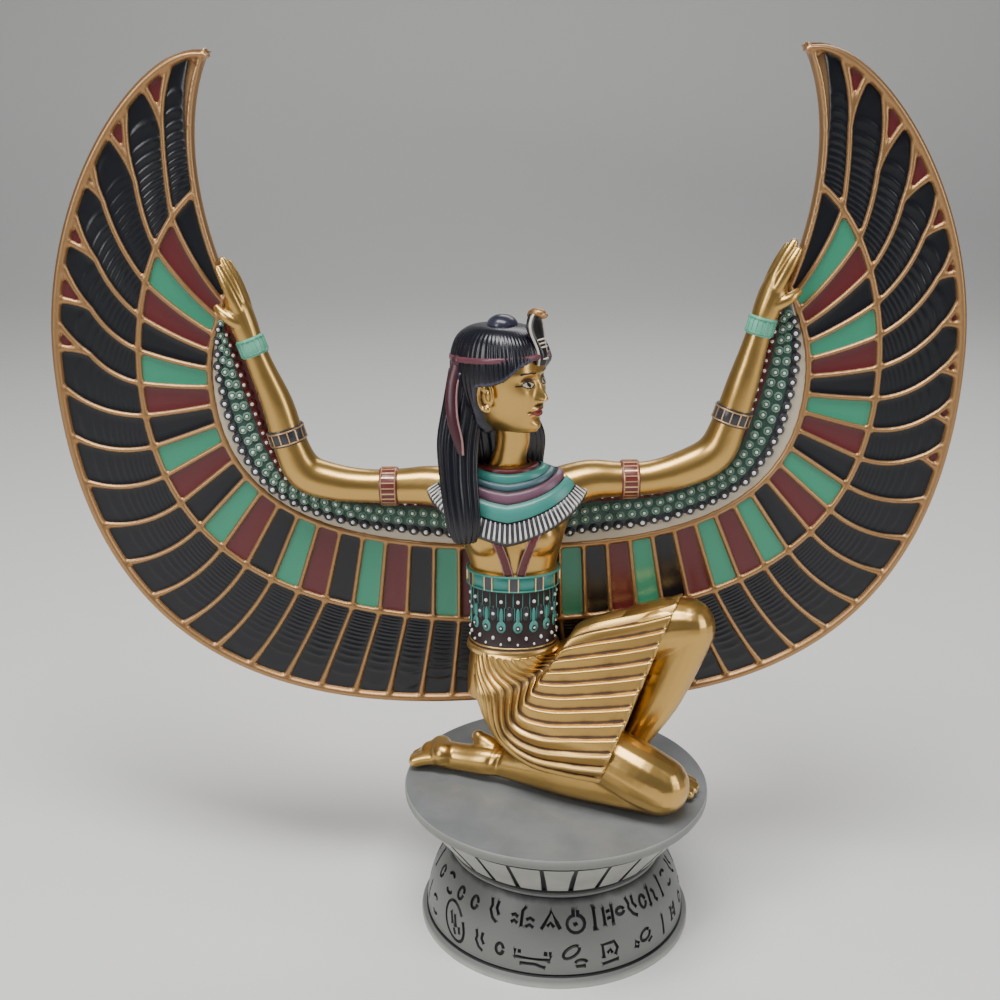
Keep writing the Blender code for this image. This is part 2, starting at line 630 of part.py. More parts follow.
def hull_point(near, near_radius, far, far_radius, side, up, share):
    """A point at a share of the way round the hull of two circles, and the direction out of it there."""
    run = (far - near).length
    top, bottom = math.pi * far_radius, math.pi * near_radius
    reach = share * (top + bottom + 2 * run)
    if reach < top:
        out = side * math.cos(reach / far_radius) + up * math.sin(reach / far_radius)
        return far + out * far_radius, out
    reach -= top
    if reach < run:
        f = reach / run
        return far.lerp(near, f) - side * (far_radius + (near_radius - far_radius) * f), -side
    reach -= run
    if reach < bottom:
        out = -side * math.cos(reach / near_radius) - up * math.sin(reach / near_radius)
        return near + out * near_radius, out
    f = (reach - bottom) / run
    return near.lerp(far, f) + side * (near_radius + (far_radius - near_radius) * f), side


def kilt_rings():
    """The pleated kilt: each ring runs round both thighs, and pleats alternate from point to point."""
    rings = []
    count = PLEATS * 2
    last = (len(KILT) - 1) * KILT_RINGS_A_ROW
    for step in range(last + 1):
        t = step / KILT_RINGS_A_ROW
        low = smooth_row([row[0] for row in KILT], t)
        high = smooth_row([row[1] for row in KILT], t)
        facing = Vector(smooth_row(KILT_TURN, t)).normalized()
        near, far = Vector(low[:3]), Vector(high[:3])
        spine = far - near
        spine -= facing * spine.dot(facing)
        up = spine.normalized()
        side = facing.cross(up)
        depth = PLEAT_DEPTH * min(1.0, (step + 1) / 4)
        ring = []
        twist = smooth_row([(turned,) for turned in KILT_TWIST], t)[0]
        for j in range(count):
            share = (j / count + twist) % 1.0
            point, out = hull_point(near, low[3], near + spine, high[3], side, up, share)
            ring.append(at(*(point + out * (depth if j % 2 else -depth))))
        rings.append(ring)
    return rings


def join_into(target, builder_maker, name, group):
    """Unite one more closed shape with the casting."""
    builder = bmesh.new()
    builder_maker(builder)
    helper = new_object(name, builder, group)
    unite(target, helper)


def unite(target, helper):
    union = target.modifiers.new("Unite", "BOOLEAN")
    union.operation = "UNION"
    union.solver = "EXACT"
    union.object = helper
    bpy.context.view_layer.update()
    seen = target.evaluated_get(bpy.context.evaluated_depsgraph_get())
    mesh = bpy.data.meshes.new_from_object(seen)
    target.modifiers.clear()
    target.data = mesh
    bpy.data.objects.remove(helper, do_unlink=True)


def lofts(*ring_sets):
    def make(builder):
        for rings in ring_sets:
            add_loft(builder, rings)
    return make


def build_casting(group, helpers):
    """The goddess and her wings, which were cast as one."""
    builder = bmesh.new()
    add_body(builder)
    casting = fused_mesh(new_object("winged_goddess", builder, group), FUSE_STEPS * STEP, BODY_SHARE)
    join_into(casting, wing_plate, "wings", helpers)
    join_into(casting, lofts(kilt_rings()), "kilt", helpers)
    join_into(casting, lofts(level_rings(BACK_HAIR, 14)), "back_hair", helpers)
    join_into(casting, lofts(level_rings(FRONT_LOCK, 12)), "front_lock", helpers)
    join_into(casting, lofts(wig_rings()), "wig", helpers)
    join_into(casting, lofts(headband_rings()), "headband", helpers)
    join_into(casting, lofts(collar_rings()), "collar", helpers)
    join_into(casting, lofts(belt_rings()), "belt", helpers)
    bands = [armband_rings(arm, *band) for arm in (RIGHT_ARM, LEFT_ARM) for band in ARMBANDS]
    join_into(casting, lofts(*bands), "armbands", helpers)
    small = [limb_rings(path, 8) for path in (RIBBON, URAEUS, *STRAPS)]
    for number, rings in enumerate(small):
        join_into(casting, lofts(rings), "trim_%d" % number, helpers)
    flatten_seat(casting)
    metal = new_material("AntiqueGold", (0.62, 0.42, 0.16), 0.38, 0.9)
    casting.data.materials.clear()
    casting.data.materials.append(metal)
    return casting


def drop_crumbs(builder):
    """Delete the loose specks that the unions leave where two faces nearly touch."""
    islands = []
    seen = set()
    for start in builder.verts:
        if start in seen:
            continue
        seen.add(start)
        island = [start]
        for corner in island:
            for edge in corner.link_edges:
                other = edge.other_vert(corner)
                if other not in seen:
                    seen.add(other)
                    island.append(other)
        islands.append(island)
    islands.sort(key=len)
    crumbs = [corner for island in islands[:-1] for corner in island]
    bmesh.ops.delete(builder, geom=crumbs, context="VERTS")


def flatten_seat(casting):
    """Cut the knees and feet flat where they rest on the plinth."""
    builder = bmesh.new()
    builder.from_mesh(casting.data)
    cut = bmesh.ops.bisect_plane(
        builder, geom=list(builder.verts) + list(builder.edges) + list(builder.faces),
        plane_co=(0, 0, SEAT), plane_no=(0, 0, 1), clear_inner=True,
    )["geom_cut"]
    edges = [item for item in cut if isinstance(item, bmesh.types.BMEdge)]
    bmesh.ops.edgenet_fill(builder, edges=edges)
    drop_crumbs(builder)
    bmesh.ops.triangulate(builder, faces=builder.faces)
    bmesh.ops.recalc_face_normals(builder, faces=builder.faces)
    builder.to_mesh(casting.data)
    builder.free()


def plinth_profile():
    """Half of the plinth's section, radius and height, from the middle of the top down to the underside."""
    top = PLINTH_HEIGHT
    under_disc = top - PLINTH_TOP_THICKNESS
    neck = PLINTH_NECK_HEIGHT
    body_low = PLINTH_FOOT_HEIGHT + PLINTH_GROOVE_DEPTH
    points = [(0, top), (PLINTH_TOP_RADIUS - 0.0008, top), (PLINTH_TOP_RADIUS, top - 0.0008)]
    points += [(PLINTH_TOP_RADIUS, under_disc + 0.001), (PLINTH_TOP_RADIUS - PLINTH_TOP_LIP, under_disc)]
    points += [(PLINTH_NECK_RADIUS, neck + PLINTH_NECK_BEAD)]
    points += [(PLINTH_NECK_RADIUS + 0.0008, neck + PLINTH_NECK_BEAD / 2), (PLINTH_NECK_RADIUS, neck)]
    for k in range(1, 6):
        t = k / 5
        bulge = math.sin(t * math.pi / 2) ** 0.8
        radius = PLINTH_NECK_RADIUS + (PLINTH_BODY_RADIUS - PLINTH_NECK_RADIUS) * bulge
        points.append((radius, neck + (body_low - neck) * t))
    points += [(PLINTH_BODY_RADIUS - PLINTH_GROOVE_DEPTH, PLINTH_FOOT_HEIGHT)]
    points += [(PLINTH_FOOT_RADIUS, PLINTH_FOOT_HEIGHT), (PLINTH_FOOT_RADIUS, 0.0008)]
    points += [(PLINTH_FOOT_RADIUS - 0.0008, 0), (0, 0)]
    return points


def body_radius(height):
    """The plinth body's radius at a height between its foot and its neck."""
    rows = plinth_profile()[7:13]
    for (r0, z0), (r1, z1) in zip(rows, rows[1:]):
        if z1 <= height <= z0:
            return r0 + (r1 - r0) * (height - z0) / (z1 - z0)
    return PLINTH_BODY_RADIUS


def add_bar(builder, angle, radius, height, size, lean, roll):
    """A small block set on the plinth's side; lean follows the wall and roll turns the stroke."""
    place = Matrix.Rotation(angle, 4, "Z") @ Matrix.Translation((radius, 0, height))
    place = place @ Matrix.Rotation(lean, 4, "Y") @ Matrix.Rotation(roll, 4, "X")
    bmesh.ops.create_cube(builder, size=1, matrix=place @ Matrix.Diagonal((*size, 1)))


def build_plinth(group, helpers):
    builder = bmesh.new()
    corners = [builder.verts.new((radius, 0, height)) for radius, height in plinth_profile()]
    for a, b in zip(corners, corners[1:]):
        builder.edges.new((a, b))
    mesh = bpy.data.meshes.new("plinth")
    builder.to_mesh(mesh)
    builder.free()
    plinth = bpy.data.objects.new("plinth", mesh)
    group.objects.link(plinth)
    turn = plinth.modifiers.new("Turn", "SCREW")
    turn.steps = PLINTH_SIDES
    turn.render_steps = PLINTH_SIDES
    turn.use_merge_vertices = True
    turn.merge_threshold = 0.00005
    cutter = bmesh.new()
    under = PLINTH_HEIGHT - PLINTH_TOP_THICKNESS
    neck_top = PLINTH_NECK_HEIGHT + PLINTH_NECK_BEAD
    run = PLINTH_TOP_RADIUS - PLINTH_TOP_LIP - PLINTH_NECK_RADIUS
    rise = under - neck_top
    slope = math.atan2(run, rise)
    for i in range(PANEL_COUNT):
        angle = 2 * math.pi * (i + 0.5) / PANEL_COUNT
        size = (PLINTH_GROOVE_DEPTH * 2, PANEL_GROOVE_WIDTH, math.hypot(run, rise) * PANEL_SHARE)
        add_bar(cutter, angle, PLINTH_NECK_RADIUS + run / 2, (under + neck_top) / 2, size, slope, 0)
    body_low = PLINTH_FOOT_HEIGHT + PLINTH_GROOVE_DEPTH
    for row in (0, 1):
        height = body_low + (PLINTH_NECK_HEIGHT - body_low) * STROKE_ROWS[row]
        radius = body_radius(height)
        lean = math.atan2(body_radius(height - 0.002) - body_radius(height + 0.002), 0.004)
        for i in range(STROKE_COUNT):
            angle = 2 * math.pi * (i + 0.5 * row) / STROKE_COUNT
            tall = STROKE_HEIGHT * (1 - STROKE_VARIATION * (1 - math.cos(5 * i + row)))
            size = (STROKE_DEPTH * 2, STROKE_WIDTH, tall)
            add_bar(cutter, angle, radius, height, size, -lean, math.radians((37 * i + 50 * row) % 120 - 60))
    tool = new_object("plinth_grooves", cutter, helpers)
    tool.hide_render = True
    tool.display_type = "WIRE"
    cut = plinth.modifiers.new("Carve", "BOOLEAN")
    cut.operation = "DIFFERENCE"
    cut.solver = "EXACT"
    cut.object = tool
    plinth.data.materials.append(new_material("GreyStone", (0.24, 0.25, 0.255), 0.55, 0.0))
    return plinth


def main():
    clear_scene()
    group = new_collection("winged_goddess_statue")
    helpers = new_collection("cutters")
    build_plinth(group, helpers)
    build_casting(group, helpers)


main()
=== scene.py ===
import math
import random

import bmesh
import bpy
import numpy as np
from mathutils import Matrix, Vector


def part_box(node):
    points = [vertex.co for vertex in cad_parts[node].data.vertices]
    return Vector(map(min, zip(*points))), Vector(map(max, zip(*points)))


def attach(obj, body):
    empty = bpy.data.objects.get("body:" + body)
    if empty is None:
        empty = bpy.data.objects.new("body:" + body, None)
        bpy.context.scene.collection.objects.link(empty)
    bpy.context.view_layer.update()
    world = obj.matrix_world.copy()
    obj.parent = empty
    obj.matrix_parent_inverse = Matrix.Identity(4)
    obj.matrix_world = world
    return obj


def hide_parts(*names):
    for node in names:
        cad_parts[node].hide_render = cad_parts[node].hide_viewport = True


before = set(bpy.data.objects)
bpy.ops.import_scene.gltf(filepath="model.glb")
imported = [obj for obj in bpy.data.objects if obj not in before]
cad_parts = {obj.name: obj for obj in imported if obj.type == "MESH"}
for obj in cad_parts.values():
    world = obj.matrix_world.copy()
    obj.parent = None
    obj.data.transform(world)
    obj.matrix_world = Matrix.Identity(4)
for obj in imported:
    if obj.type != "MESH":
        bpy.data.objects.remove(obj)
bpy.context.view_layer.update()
random.seed(4)

# The figure is drawn on a grid of 256.5 steps, from its seat on the plinth up to the wing tips
seatCorner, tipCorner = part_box("winged_goddess")
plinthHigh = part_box("plinth")[1]
gridHeight = 256.5
step = (tipCorner.z - seatCorner.z) / gridHeight
seat = seatCorner.z

statue = bpy.data.collections.new("statue")
bpy.context.scene.collection.children.link(statue)


# small tools

def spot(x, y, z):
    return Vector((x * step, y * step, z * step + seat))


def circleTurns(sides):
    return [2 * math.pi * k / sides for k in range(sides)]


def sampleRow(rows, t):
    # Catmull-Rom through rows of numbers
    last = len(rows) - 1
    i = min(int(t), last - 1)
    f = t - i
    a, b, c, d = (rows[min(max(k, 0), last)] for k in (i - 1, i, i + 1, i + 2))
    return [0.5 * (2 * q + (r - p) * f + (2 * p - 5 * q + 4 * r - s) * f * f
                   + (3 * q - p - 3 * r + s) * f ** 3)
            for p, q, r, s in zip(a, b, c, d)]


def sampleRows(rows, parts):
    return [sampleRow(rows, k / parts) for k in range((len(rows) - 1) * parts + 1)]


def smoothStep(low, high, value):
    t = min(max((value - low) / (high - low), 0.0), 1.0)
    return t * t * (3 - 2 * t)


def loopEdges(loop):
    edges = []
    for a, b in zip(loop, loop[1:] + loop[:1]):
        edges.append(next(edge for edge in a.link_edges if edge.other_vert(a) is b))
    return edges


def growRings(bm, rings, slots=None, ends=True):
    # one circle, whose edges are extruded from ring to ring
    loop = bmesh.ops.create_circle(bm, segments=len(rings[0]), radius=1)["verts"]
    for corner, point in zip(loop, rings[0]):
        corner.co = point
    edges = loopEdges(loop)
    if ends:
        bmesh.ops.contextual_create(bm, geom=edges)
    for k, ring in enumerate(rings[1:]):
        grown = bmesh.ops.extrude_edge_only(bm, edges=edges)["geom"]
        fresh = {item for item in grown if isinstance(item, bmesh.types.BMVert)}
        if slots:
            for face in (item for item in grown if isinstance(item, bmesh.types.BMFace)):
                face.material_index = slots[k]
        after = []
        for corner in loop:
            after.append(next(edge.other_vert(corner) for edge in corner.link_edges
                              if edge.other_vert(corner) in fresh))
        for corner, point in zip(after, ring):
            corner.co = point
        loop = after
        edges = loopEdges(loop)
    if ends:
        bmesh.ops.contextual_create(bm, geom=edges)


def levelRings(rows, sides, parts):
    rings = []
    for x, y, z, wide, deep in sampleRows(rows, parts):
        rings.append([spot(x + wide * math.cos(a), y + deep * math.sin(a), z) for a in circleTurns(sides)])
    return rings


def pathRings(rows, sides, parts, flat=1.0, facing=None):
    # round or flattened rings square to a path; rows are x, y, z, radius
    rows = sampleRows(rows, parts) if parts else rows
    centres = [spot(*row[:3]) for row in rows]
    rings = []
    side = None
    for i, row in enumerate(rows):
        ahead = (centres[min(i + 1, len(rows) - 1)] - centres[max(i - 1, 0)]).normalized()
        if side is None or facing:
            side = ahead.cross(Vector(facing or (0, 1, 0))).normalized()
        side = (side - ahead * side.dot(ahead)).normalized()
        up = ahead.cross(side)
        reach = row[3] * step
        rings.append([centres[i] + side * reach * math.cos(a) + up * reach * flat * math.sin(a)
                      for a in circleTurns(sides)])
    return rings


def addBall(bm, centre, sizes, turn=0.0, segments=20):
    place = Matrix.Translation(spot(*centre)) @ Matrix.Rotation(turn - math.pi / 2, 4, "Z")
    place = place @ Matrix.Diagonal((*(size * step for size in sizes), 1))
    bmesh.ops.create_uvsphere(bm, u_segments=segments, v_segments=segments // 2 + 2, radius=1, matrix=place)


def addLimb(bm, rows, sides=20, parts=4):
    growRings(bm, pathRings(rows, sides, parts))
    for x, y, z, radius in (rows[0], rows[-1]):
        addBall(bm, (x, y, z), (radius, radius, radius))


def settle(thing):
    # apply the modifiers, so the piece is a plain mesh
    bpy.context.view_layer.update()
    seen = thing.evaluated_get(bpy.context.evaluated_depsgraph_get())
    mesh = bpy.data.meshes.new_from_object(seen)
    thing.modifiers.clear()
    thing.data = mesh


def markHollows(thing, rounds=3):
    # a vertex attribute, above zero in hollows and below it on edges, for the antique wash and for the wear
    # and painted highlight on edges
    mesh = thing.data
    count = len(mesh.vertices)
    places = np.empty(count * 3)
    mesh.vertices.foreach_get("co", places)
    places = places.reshape(-1, 3)
    normals = np.empty(count * 3)
    mesh.vertices.foreach_get("normal", normals)
    normals = normals.reshape(-1, 3)
    ends = np.empty(len(mesh.edges) * 2, int)
    mesh.edges.foreach_get("vertices", ends)
    a, b = ends[0::2], ends[1::2]
    near = np.maximum(np.bincount(a, minlength=count) + np.bincount(b, minlength=count), 1)

    def average(values):
        return (np.bincount(a, values[b], count) + np.bincount(b, values[a], count)) / near

    middle = np.stack([average(places[:, k]) for k in range(3)], axis=1)
    size = np.linalg.norm(places[a] - places[b], axis=1).mean()
    hollow = ((middle - places) * normals).sum(axis=1) / size
    for _ in range(rounds):
        hollow = 0.5 * hollow + 0.5 * average(hollow)
    layer = mesh.attributes.new("hollow", "FLOAT", "POINT")
    layer.data.foreach_set("value", hollow.astype(np.float32))


def pressLine(thing, line, wide=0.0009, deep=0.0005):
    # a crease pressed in along a short line
    count = len(thing.data.vertices)
    places, normals = np.empty(count * 3), np.empty(count * 3)
    thing.data.vertices.foreach_get("co", places)
    thing.data.vertices.foreach_get("normal", normals)
    places, normals = places.reshape(-1, 3), normals.reshape(-1, 3)
    far = np.full(count, 1.0)
    for a, b in zip(line, line[1:]):
        start, run = np.array(a), np.array(b - a)
        share = np.clip(((places - start) @ run) / (run @ run), 0, 1)
        far = np.minimum(far, np.linalg.norm(places - start - share[:, None] * run, axis=1))
    fall = deep * np.exp(-(far / wide) ** 2)
    thing.data.vertices.foreach_set("co", (places - normals * fall[:, None]).ravel())
    thing.data.update()


def makePiece(name, bm, materials, node="winged_goddess", smooth=True, sharp=None,
              voxel=None, soften=0, cuts=None, dents=()):
    bmesh.ops.recalc_face_normals(bm, faces=bm.faces)
    mesh = bpy.data.meshes.new(name)
    bm.to_mesh(mesh)
    bm.free()
    thing = bpy.data.objects.new(name, mesh)
    statue.objects.link(thing)
    if voxel:
        fuse = thing.modifiers.new("Fuse", "REMESH")
        fuse.mode = "VOXEL"
        fuse.voxel_size = voxel * step
    if soften:
        ease = thing.modifiers.new("Soften", "SMOOTH")
        ease.factor = 0.5
        ease.iterations = soften
    for material in materials:
        thing.data.materials.append(material)
    if cuts:
        for material in materials:
            cuts.materials.append(material)
        cutter = bpy.data.objects.new(name + "_cutter", cuts)
        statue.objects.link(cutter)
        carve = thing.modifiers.new("Carve", "BOOLEAN")
        carve.operation = "DIFFERENCE"
        carve.solver = "EXACT"
        carve.use_self = True
        carve.object = cutter
    if voxel or soften or cuts:
        settle(thing)
    if cuts:
        bpy.data.objects.remove(cutter)
    for line in dents:
        pressLine(thing, [spot(*place) for place in line])
    thing.data.polygons.foreach_set("use_smooth", [smooth] * len(thing.data.polygons))
    if sharp:
        thing.data.set_sharp_from_angle(angle=math.radians(sharp))
    markHollows(thing)
    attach(thing, "root")
    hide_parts(node)
    print("piece", name, len(thing.data.polygons), "faces")
    return thing


# materials

def newGroup(name, inputs, outputs):
    group = bpy.data.node_groups.new(name, "ShaderNodeTree")
    for label, value in inputs:
        group.interface.new_socket(name=label, in_out="INPUT",
                                   socket_type="NodeSocketFloat").default_value = value
    for label in outputs:
        group.interface.new_socket(name=label, in_out="OUTPUT", socket_type="NodeSocketFloat")
    return group, group.nodes.new("NodeGroupInput"), group.nodes.new("NodeGroupOutput")


def addNode(tree, kind, **settings):
    node = tree.nodes.new(kind)
    for key, value in settings.items():
        setattr(node, key, value)
    return node


def mathNode(tree, operation, first, second=None, clamp=False):
    node = addNode(tree, "ShaderNodeMath", operation=operation, use_clamp=clamp)
    for socket, value in zip(node.inputs, (first, second)):
        if value is None:
            continue
        if isinstance(value, (int, float)):
            socket.default_value = value
        else:
            tree.links.new(value, socket)
    return node.outputs[0]


def noiseNode(tree, place, scale, detail=3.0, roughness=0.55):
    noise = addNode(tree, "ShaderNodeTexNoise")
    noise.inputs["Detail"].default_value = detail
    noise.inputs["Roughness"].default_value = roughness
    tree.links.new(place, noise.inputs["Vector"])
    if isinstance(scale, (int, float)):
        noise.inputs["Scale"].default_value = scale
    else:
        tree.links.new(scale, noise.inputs["Scale"])
    return noise.outputs["Fac"]


def buildAgedGroup():
    # brown wash that settles in hollows, rubbed edges that are partly wear and partly painted highlight, and
    # a fine cast grain
    inputs = [("Hollow", 0.0), ("Wash Low", 0.01), ("Wash High", 0.08), ("Mottle", 180.0), ("Grain", 1400.0)]
    group, entry, leave = newGroup("agedCastingAndHighlight", inputs, ["Wash", "Wear And Highlight", "Height"])
    place = addNode(group, "ShaderNodeTexCoord").outputs["Object"]
    mottle = noiseNode(group, place, entry.outputs["Mottle"])
    grain = noiseNode(group, place, entry.outputs["Grain"], 2.0)
    uneven = mathNode(group, "MULTIPLY", mathNode(group, "SUBTRACT", mottle, 0.5), 0.09)
    depth = mathNode(group, "ADD", entry.outputs["Hollow"], uneven)
    washRange = addNode(group, "ShaderNodeMapRange", interpolation_type="SMOOTHSTEP")
    group.links.new(depth, washRange.inputs["Value"])
    group.links.new(entry.outputs["Wash Low"], washRange.inputs["From Min"])
    group.links.new(entry.outputs["Wash High"], washRange.inputs["From Max"])
    group.links.new(washRange.outputs["Result"], leave.inputs["Wash"])
    # raised edges take the lighter colour: partly wear, partly a painted highlight
    raised = addNode(group, "ShaderNodeMapRange")
    raised.inputs["From Min"].default_value = -0.05
    raised.inputs["From Max"].default_value = -0.32
    group.links.new(entry.outputs["Hollow"], raised.inputs["Value"])
    wearHighlight = mathNode(group, "MULTIPLY", raised.outputs["Result"], mathNode(group, "ADD", mottle, 0.35),
                   clamp=True)
    group.links.new(wearHighlight, leave.inputs["Wear And Highlight"])
    height = mathNode(group, "ADD", mathNode(group, "MULTIPLY", mottle, 0.5),
                      mathNode(group, "MULTIPLY", grain, 0.3))
    group.links.new(height, leave.inputs["Height"])
    return group


agedGroup = buildAgedGroup()


def mixColour(tree, mask, first, second):
    mix = addNode(tree, "ShaderNodeMix", data_type="RGBA")
    tree.links.new(mask, mix.inputs["Factor"])
    for socket, value in ((mix.inputs["A"], first), (mix.inputs["B"], second)):
        if isinstance(value, tuple):
            socket.default_value = (*value, 1)
        else:
            tree.links.new(value, socket)
    return mix.outputs["Result"]


def readAttribute(tree, name):
    return addNode(tree, "ShaderNodeAttribute", attribute_name=name).outputs["Fac"]


def agedMaterial(name, base, wash, wearHighlight, metallic=0.0, roughness=0.4, washRough=0.6, low=0.01, high=0.08,
                 mottle=180.0, grain=1400.0, bump=0.25, coat=0.0, edge=None, paints=()):
    material = bpy.data.materials.new(name)
    material.use_nodes = True
    tree = material.node_tree
    shader = tree.nodes["Principled BSDF"]
    aged = addNode(tree, "ShaderNodeGroup", node_tree=agedGroup)
    for label, value in (("Wash Low", low), ("Wash High", high), ("Mottle", mottle), ("Grain", grain)):
        aged.inputs[label].default_value = value
    tree.links.new(readAttribute(tree, "hollow"), aged.inputs["Hollow"])
    # the lighter colour on raised edges is partly wear and partly painted highlight
    colour = mixColour(tree, aged.outputs["Wear And Highlight"], base, wearHighlight)
    colour = mixColour(tree, aged.outputs["Wash"], colour, wash)
    if edge:
        # colour that darkens towards the walls of its cell
        near = addNode(tree, "ShaderNodeMapRange", interpolation_type="SMOOTHSTEP")
        near.inputs["From Min"].default_value = 0.9
        near.inputs["From Max"].default_value = 0.15
        tree.links.new(readAttribute(tree, "edge"), near.inputs["Value"])
        colour = mixColour(tree, near.outputs["Result"], colour, edge)
    rough = addNode(tree, "ShaderNodeMapRange")
    rough.inputs["To Min"].default_value = roughness
    rough.inputs["To Max"].default_value = washRough
    tree.links.new(aged.outputs["Wash"], rough.inputs["Value"])
    roughOut = rough.outputs["Result"]
    metalOut = None
    if metallic:
        metal = addNode(tree, "ShaderNodeMapRange")
        metal.inputs["To Min"].default_value = metallic
        metal.inputs["To Max"].default_value = metallic * 0.4
        tree.links.new(aged.outputs["Wash"], metal.inputs["Value"])
        metalOut = metal.outputs["Result"]
    for label, paint, shine in paints:
        mask = addNode(tree, "ShaderNodeMapRange", interpolation_type="SMOOTHSTEP")
        mask.inputs["From Min"].default_value = 0.35
        mask.inputs["From Max"].default_value = 0.65
        tree.links.new(readAttribute(tree, label), mask.inputs["Value"])
        painted = mask.outputs["Result"]
        colour = mixColour(tree, painted, colour, paint)
        bare = mathNode(tree, "SUBTRACT", 1.0, painted)
        if metalOut:
            metalOut = mathNode(tree, "MULTIPLY", metalOut, bare)
        roughOut = mathNode(tree, "ADD", mathNode(tree, "MULTIPLY", roughOut, bare),
                            mathNode(tree, "MULTIPLY", painted, shine))
    tree.links.new(colour, shader.inputs["Base Color"])
    tree.links.new(roughOut, shader.inputs["Roughness"])
    if metalOut:
        tree.links.new(metalOut, shader.inputs["Metallic"])
    shader.inputs["Coat Weight"].default_value = coat
    shader.inputs["Coat Roughness"].default_value = 0.2
    push = addNode(tree, "ShaderNodeBump")
    push.inputs["Strength"].default_value = bump
    push.inputs["Distance"].default_value = 0.0004
    tree.links.new(aged.outputs["Height"], push.inputs["Height"])
    tree.links.new(push.outputs["Normal"], shader.inputs["Normal"])
    return material


# the WearHighlight colours go on raised edges, partly wear and partly painted highlight; the disc colour is
# partly the disc's own bluish tint and partly painted shade against the overhead light
colours = {
    "gold": (0.56, 0.345, 0.105), "goldWearHighlight": (0.95, 0.72, 0.34), "goldWash": (0.05, 0.02, 0.007),
    "copperGold": (0.37, 0.205, 0.088), "copperWearHighlight": (0.74, 0.50, 0.27),
    "green": (0.035, 0.235, 0.135), "teal": (0.03, 0.20, 0.165), "slate": (0.03, 0.08, 0.095),
    "mauve": (0.105, 0.042, 0.068), "maroon": (0.098, 0.012, 0.014), "black": (0.0035, 0.004, 0.0065),
    "cream": (0.50, 0.43, 0.32), "white": (0.74, 0.72, 0.66), "plum": (0.042, 0.007, 0.013),
    "stone": (0.15, 0.152, 0.143), "stoneWearHighlight": (0.36, 0.36, 0.33), "disc": (0.062, 0.072, 0.078),
    "stoneWash": (0.010, 0.010, 0.010),
}

eyePaints = (("paintWhite", (0.50, 0.41, 0.27), 0.35), ("paintRed", (0.20, 0.022, 0.016), 0.35),
             ("paintBlack", (0.010, 0.006, 0.005), 0.35))
# the third colour of each material goes on raised edges, partly as wear and partly as a painted highlight
skinGold = agedMaterial("skinGold", colours["gold"], colours["goldWash"], colours["goldWearHighlight"], metallic=0.94,
                        roughness=0.29, washRough=0.55, low=0.02, high=0.12, mottle=120, bump=0.14)
faceGold = agedMaterial("faceGold", colours["gold"], colours["goldWash"], colours["goldWearHighlight"], metallic=0.94,
                        roughness=0.3, washRough=0.55, low=0.012, high=0.085, mottle=120, bump=0.08,
                        paints=eyePaints)
kiltGold = agedMaterial("kiltGold", colours["gold"], colours["goldWash"], colours["goldWearHighlight"], metallic=0.92,
                        roughness=0.32, washRough=0.6, low=0.0, high=0.07, mottle=140, bump=0.14)
wingGold = agedMaterial("wingGold", colours["copperGold"], (0.06, 0.024, 0.010), colours["copperWearHighlight"],
                        metallic=0.82, roughness=0.4, washRough=0.6, low=0.02, high=0.12, mottle=110,
                        bump=0.22)
blackEnamel = agedMaterial("blackEnamel", colours["black"], (0.0015, 0.0015, 0.002), (0.045, 0.05, 0.075),
                           roughness=0.3, washRough=0.5, bump=0.1, edge=(0.012, 0.004, 0.003))
greenEnamel = agedMaterial("greenEnamel", colours["green"], (0.01, 0.05, 0.03), (0.10, 0.42, 0.28),
                           roughness=0.3, washRough=0.5, bump=0.12, coat=0.15, edge=(0.008, 0.025, 0.014))
maroonEnamel = agedMaterial("maroonEnamel", colours["maroon"], (0.02, 0.004, 0.004), (0.22, 0.05, 0.045),
                            roughness=0.34, washRough=0.5, bump=0.12, coat=0.1, edge=(0.018, 0.004, 0.004))
tealPaint = agedMaterial("tealPaint", colours["teal"], (0.008, 0.035, 0.03), (0.08, 0.29, 0.245),
                         roughness=0.33, low=0.0, high=0.07)
greenPaint = agedMaterial("greenPaint", colours["green"], (0.006, 0.03, 0.018), (0.16, 0.46, 0.33),
                          roughness=0.33, low=0.0, high=0.09)
beadGreen = agedMaterial("beadGreen", (0.03, 0.085, 0.06), (0.003, 0.012, 0.008), (0.20, 0.34, 0.26),
                         roughness=0.35, low=-0.02, high=0.07)
slatePaint = agedMaterial("slatePaint", colours["slate"], (0.006, 0.01, 0.013), (0.13, 0.22, 0.25),
                          roughness=0.35, low=0.0, high=0.07)
mauvePaint = agedMaterial("mauvePaint", colours["mauve"], (0.014, 0.005, 0.01), (0.30, 0.17, 0.24),
                          roughness=0.35, low=0.0, high=0.07)
maroonPaint = agedMaterial("maroonPaint", colours["maroon"], (0.012, 0.002, 0.002), (0.17, 0.035, 0.03),
                           roughness=0.33, low=0.0, high=0.09)
blackPaint = agedMaterial("blackPaint", colours["black"], (0.0015, 0.0015, 0.0015), (0.05, 0.05, 0.06),
                          roughness=0.28)
creamPaint = agedMaterial("creamPaint", colours["cream"], (0.06, 0.045, 0.03), colours["white"],
                          roughness=0.4)
whitePaint = agedMaterial("whitePaint", colours["white"], (0.2, 0.17, 0.13), (0.85, 0.85, 0.83),
                          roughness=0.3)
plumPaint = agedMaterial("plumPaint", colours["plum"], (0.01, 0.002, 0.004), (0.2, 0.06, 0.085),
                         roughness=0.35)
pinkPaint = agedMaterial("pinkPaint", (0.26, 0.14, 0.13), (0.06, 0.02, 0.02), (0.5, 0.34, 0.32),
                         roughness=0.35)
